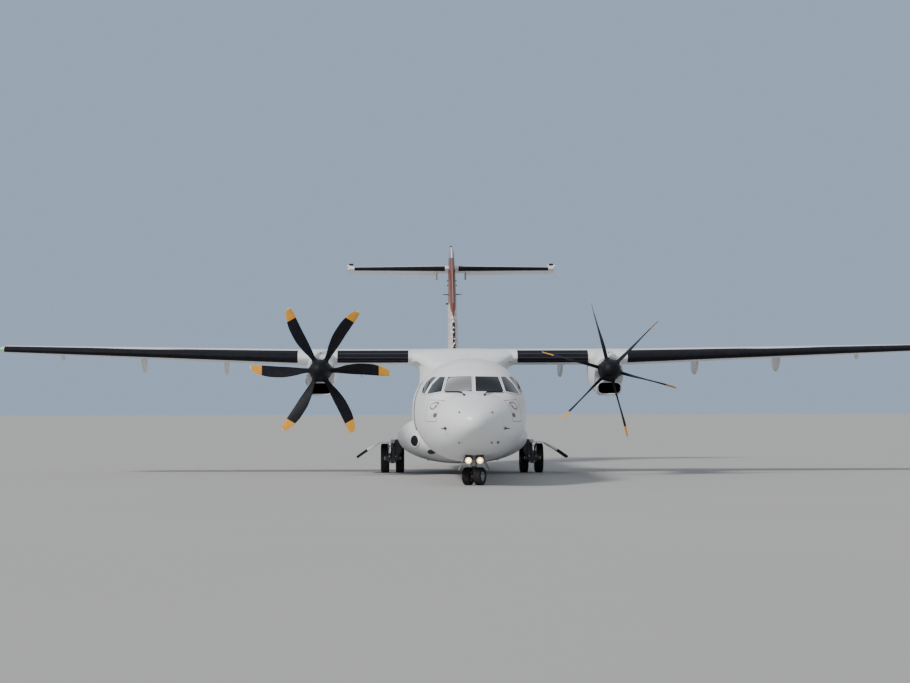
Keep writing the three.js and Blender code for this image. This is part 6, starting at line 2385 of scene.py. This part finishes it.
class AIRLINER_OT_main_gear(AirlinerStep, bpy.types.Operator):
    """Add the main legs, wheels and doors"""

    bl_idname = "airliner.main_gear"
    bl_label = "Main landing gear"

    def execute(self, context):
        build_main_gear()
        return {"FINISHED"}


class AIRLINER_OT_nose_gear(AirlinerStep, bpy.types.Operator):
    """Add the nose leg, lamps, wheels and doors"""

    bl_idname = "airliner.nose_gear"
    bl_label = "Nose landing gear"

    def execute(self, context):
        build_nose_gear()
        return {"FINISHED"}


OPERATORS = (
    AIRLINER_OT_stage,
    AIRLINER_OT_fuselage_skin,
    AIRLINER_OT_flight_deck,
    AIRLINER_OT_cabin_windows,
    AIRLINER_OT_fixed_doors,
    AIRLINER_OT_nose_details,
    AIRLINER_OT_body_details,
    AIRLINER_OT_swinging_doors,
    AIRLINER_OT_wing,
    AIRLINER_OT_wing_boots,
    AIRLINER_OT_wing_fairing,
    AIRLINER_OT_wing_details,
    AIRLINER_OT_nacelles,
    AIRLINER_OT_propellers,
    AIRLINER_OT_fin,
    AIRLINER_OT_tailplane,
    AIRLINER_OT_belly,
    AIRLINER_OT_main_gear,
    AIRLINER_OT_nose_gear,
)


class AIRLINER_PT_panel(bpy.types.Panel):
    bl_label = "Airliner"
    bl_idname = "AIRLINER_PT_panel"
    bl_space_type = "VIEW_3D"
    bl_region_type = "UI"
    bl_category = "Airliner"

    def draw(self, context):
        for operator in OPERATORS:
            self.layout.operator(operator.bl_idname)
        for holder in ("airliner_looks", "airliner_details", "airliner_stage"):
            settings = getattr(context.scene, holder)
            box = self.layout.box()
            for name in settings.__annotations__:
                box.prop(settings, name)


CLASSES = (AirlinerLooks, AirlinerDetails, AirlinerStage, *OPERATORS, AIRLINER_PT_panel)


def register():
    """Add the settings, the operators and the panel."""
    for item in CLASSES:
        bpy.utils.register_class(item)
    bpy.types.Scene.airliner_looks = PointerProperty(type=AirlinerLooks)
    bpy.types.Scene.airliner_details = PointerProperty(type=AirlinerDetails)
    bpy.types.Scene.airliner_stage = PointerProperty(type=AirlinerStage)


def unregister():
    """Take them away again."""
    for name in ("airliner_looks", "airliner_details", "airliner_stage"):
        delattr(bpy.types.Scene, name)
    for item in reversed(CLASSES):
        bpy.utils.unregister_class(item)


def main():
    """Build everything by its operators."""
    register()
    for operator in OPERATORS:
        getattr(bpy.ops.airliner, operator.bl_idname.split(".")[1])()


if __name__ == "__main__":
    main()
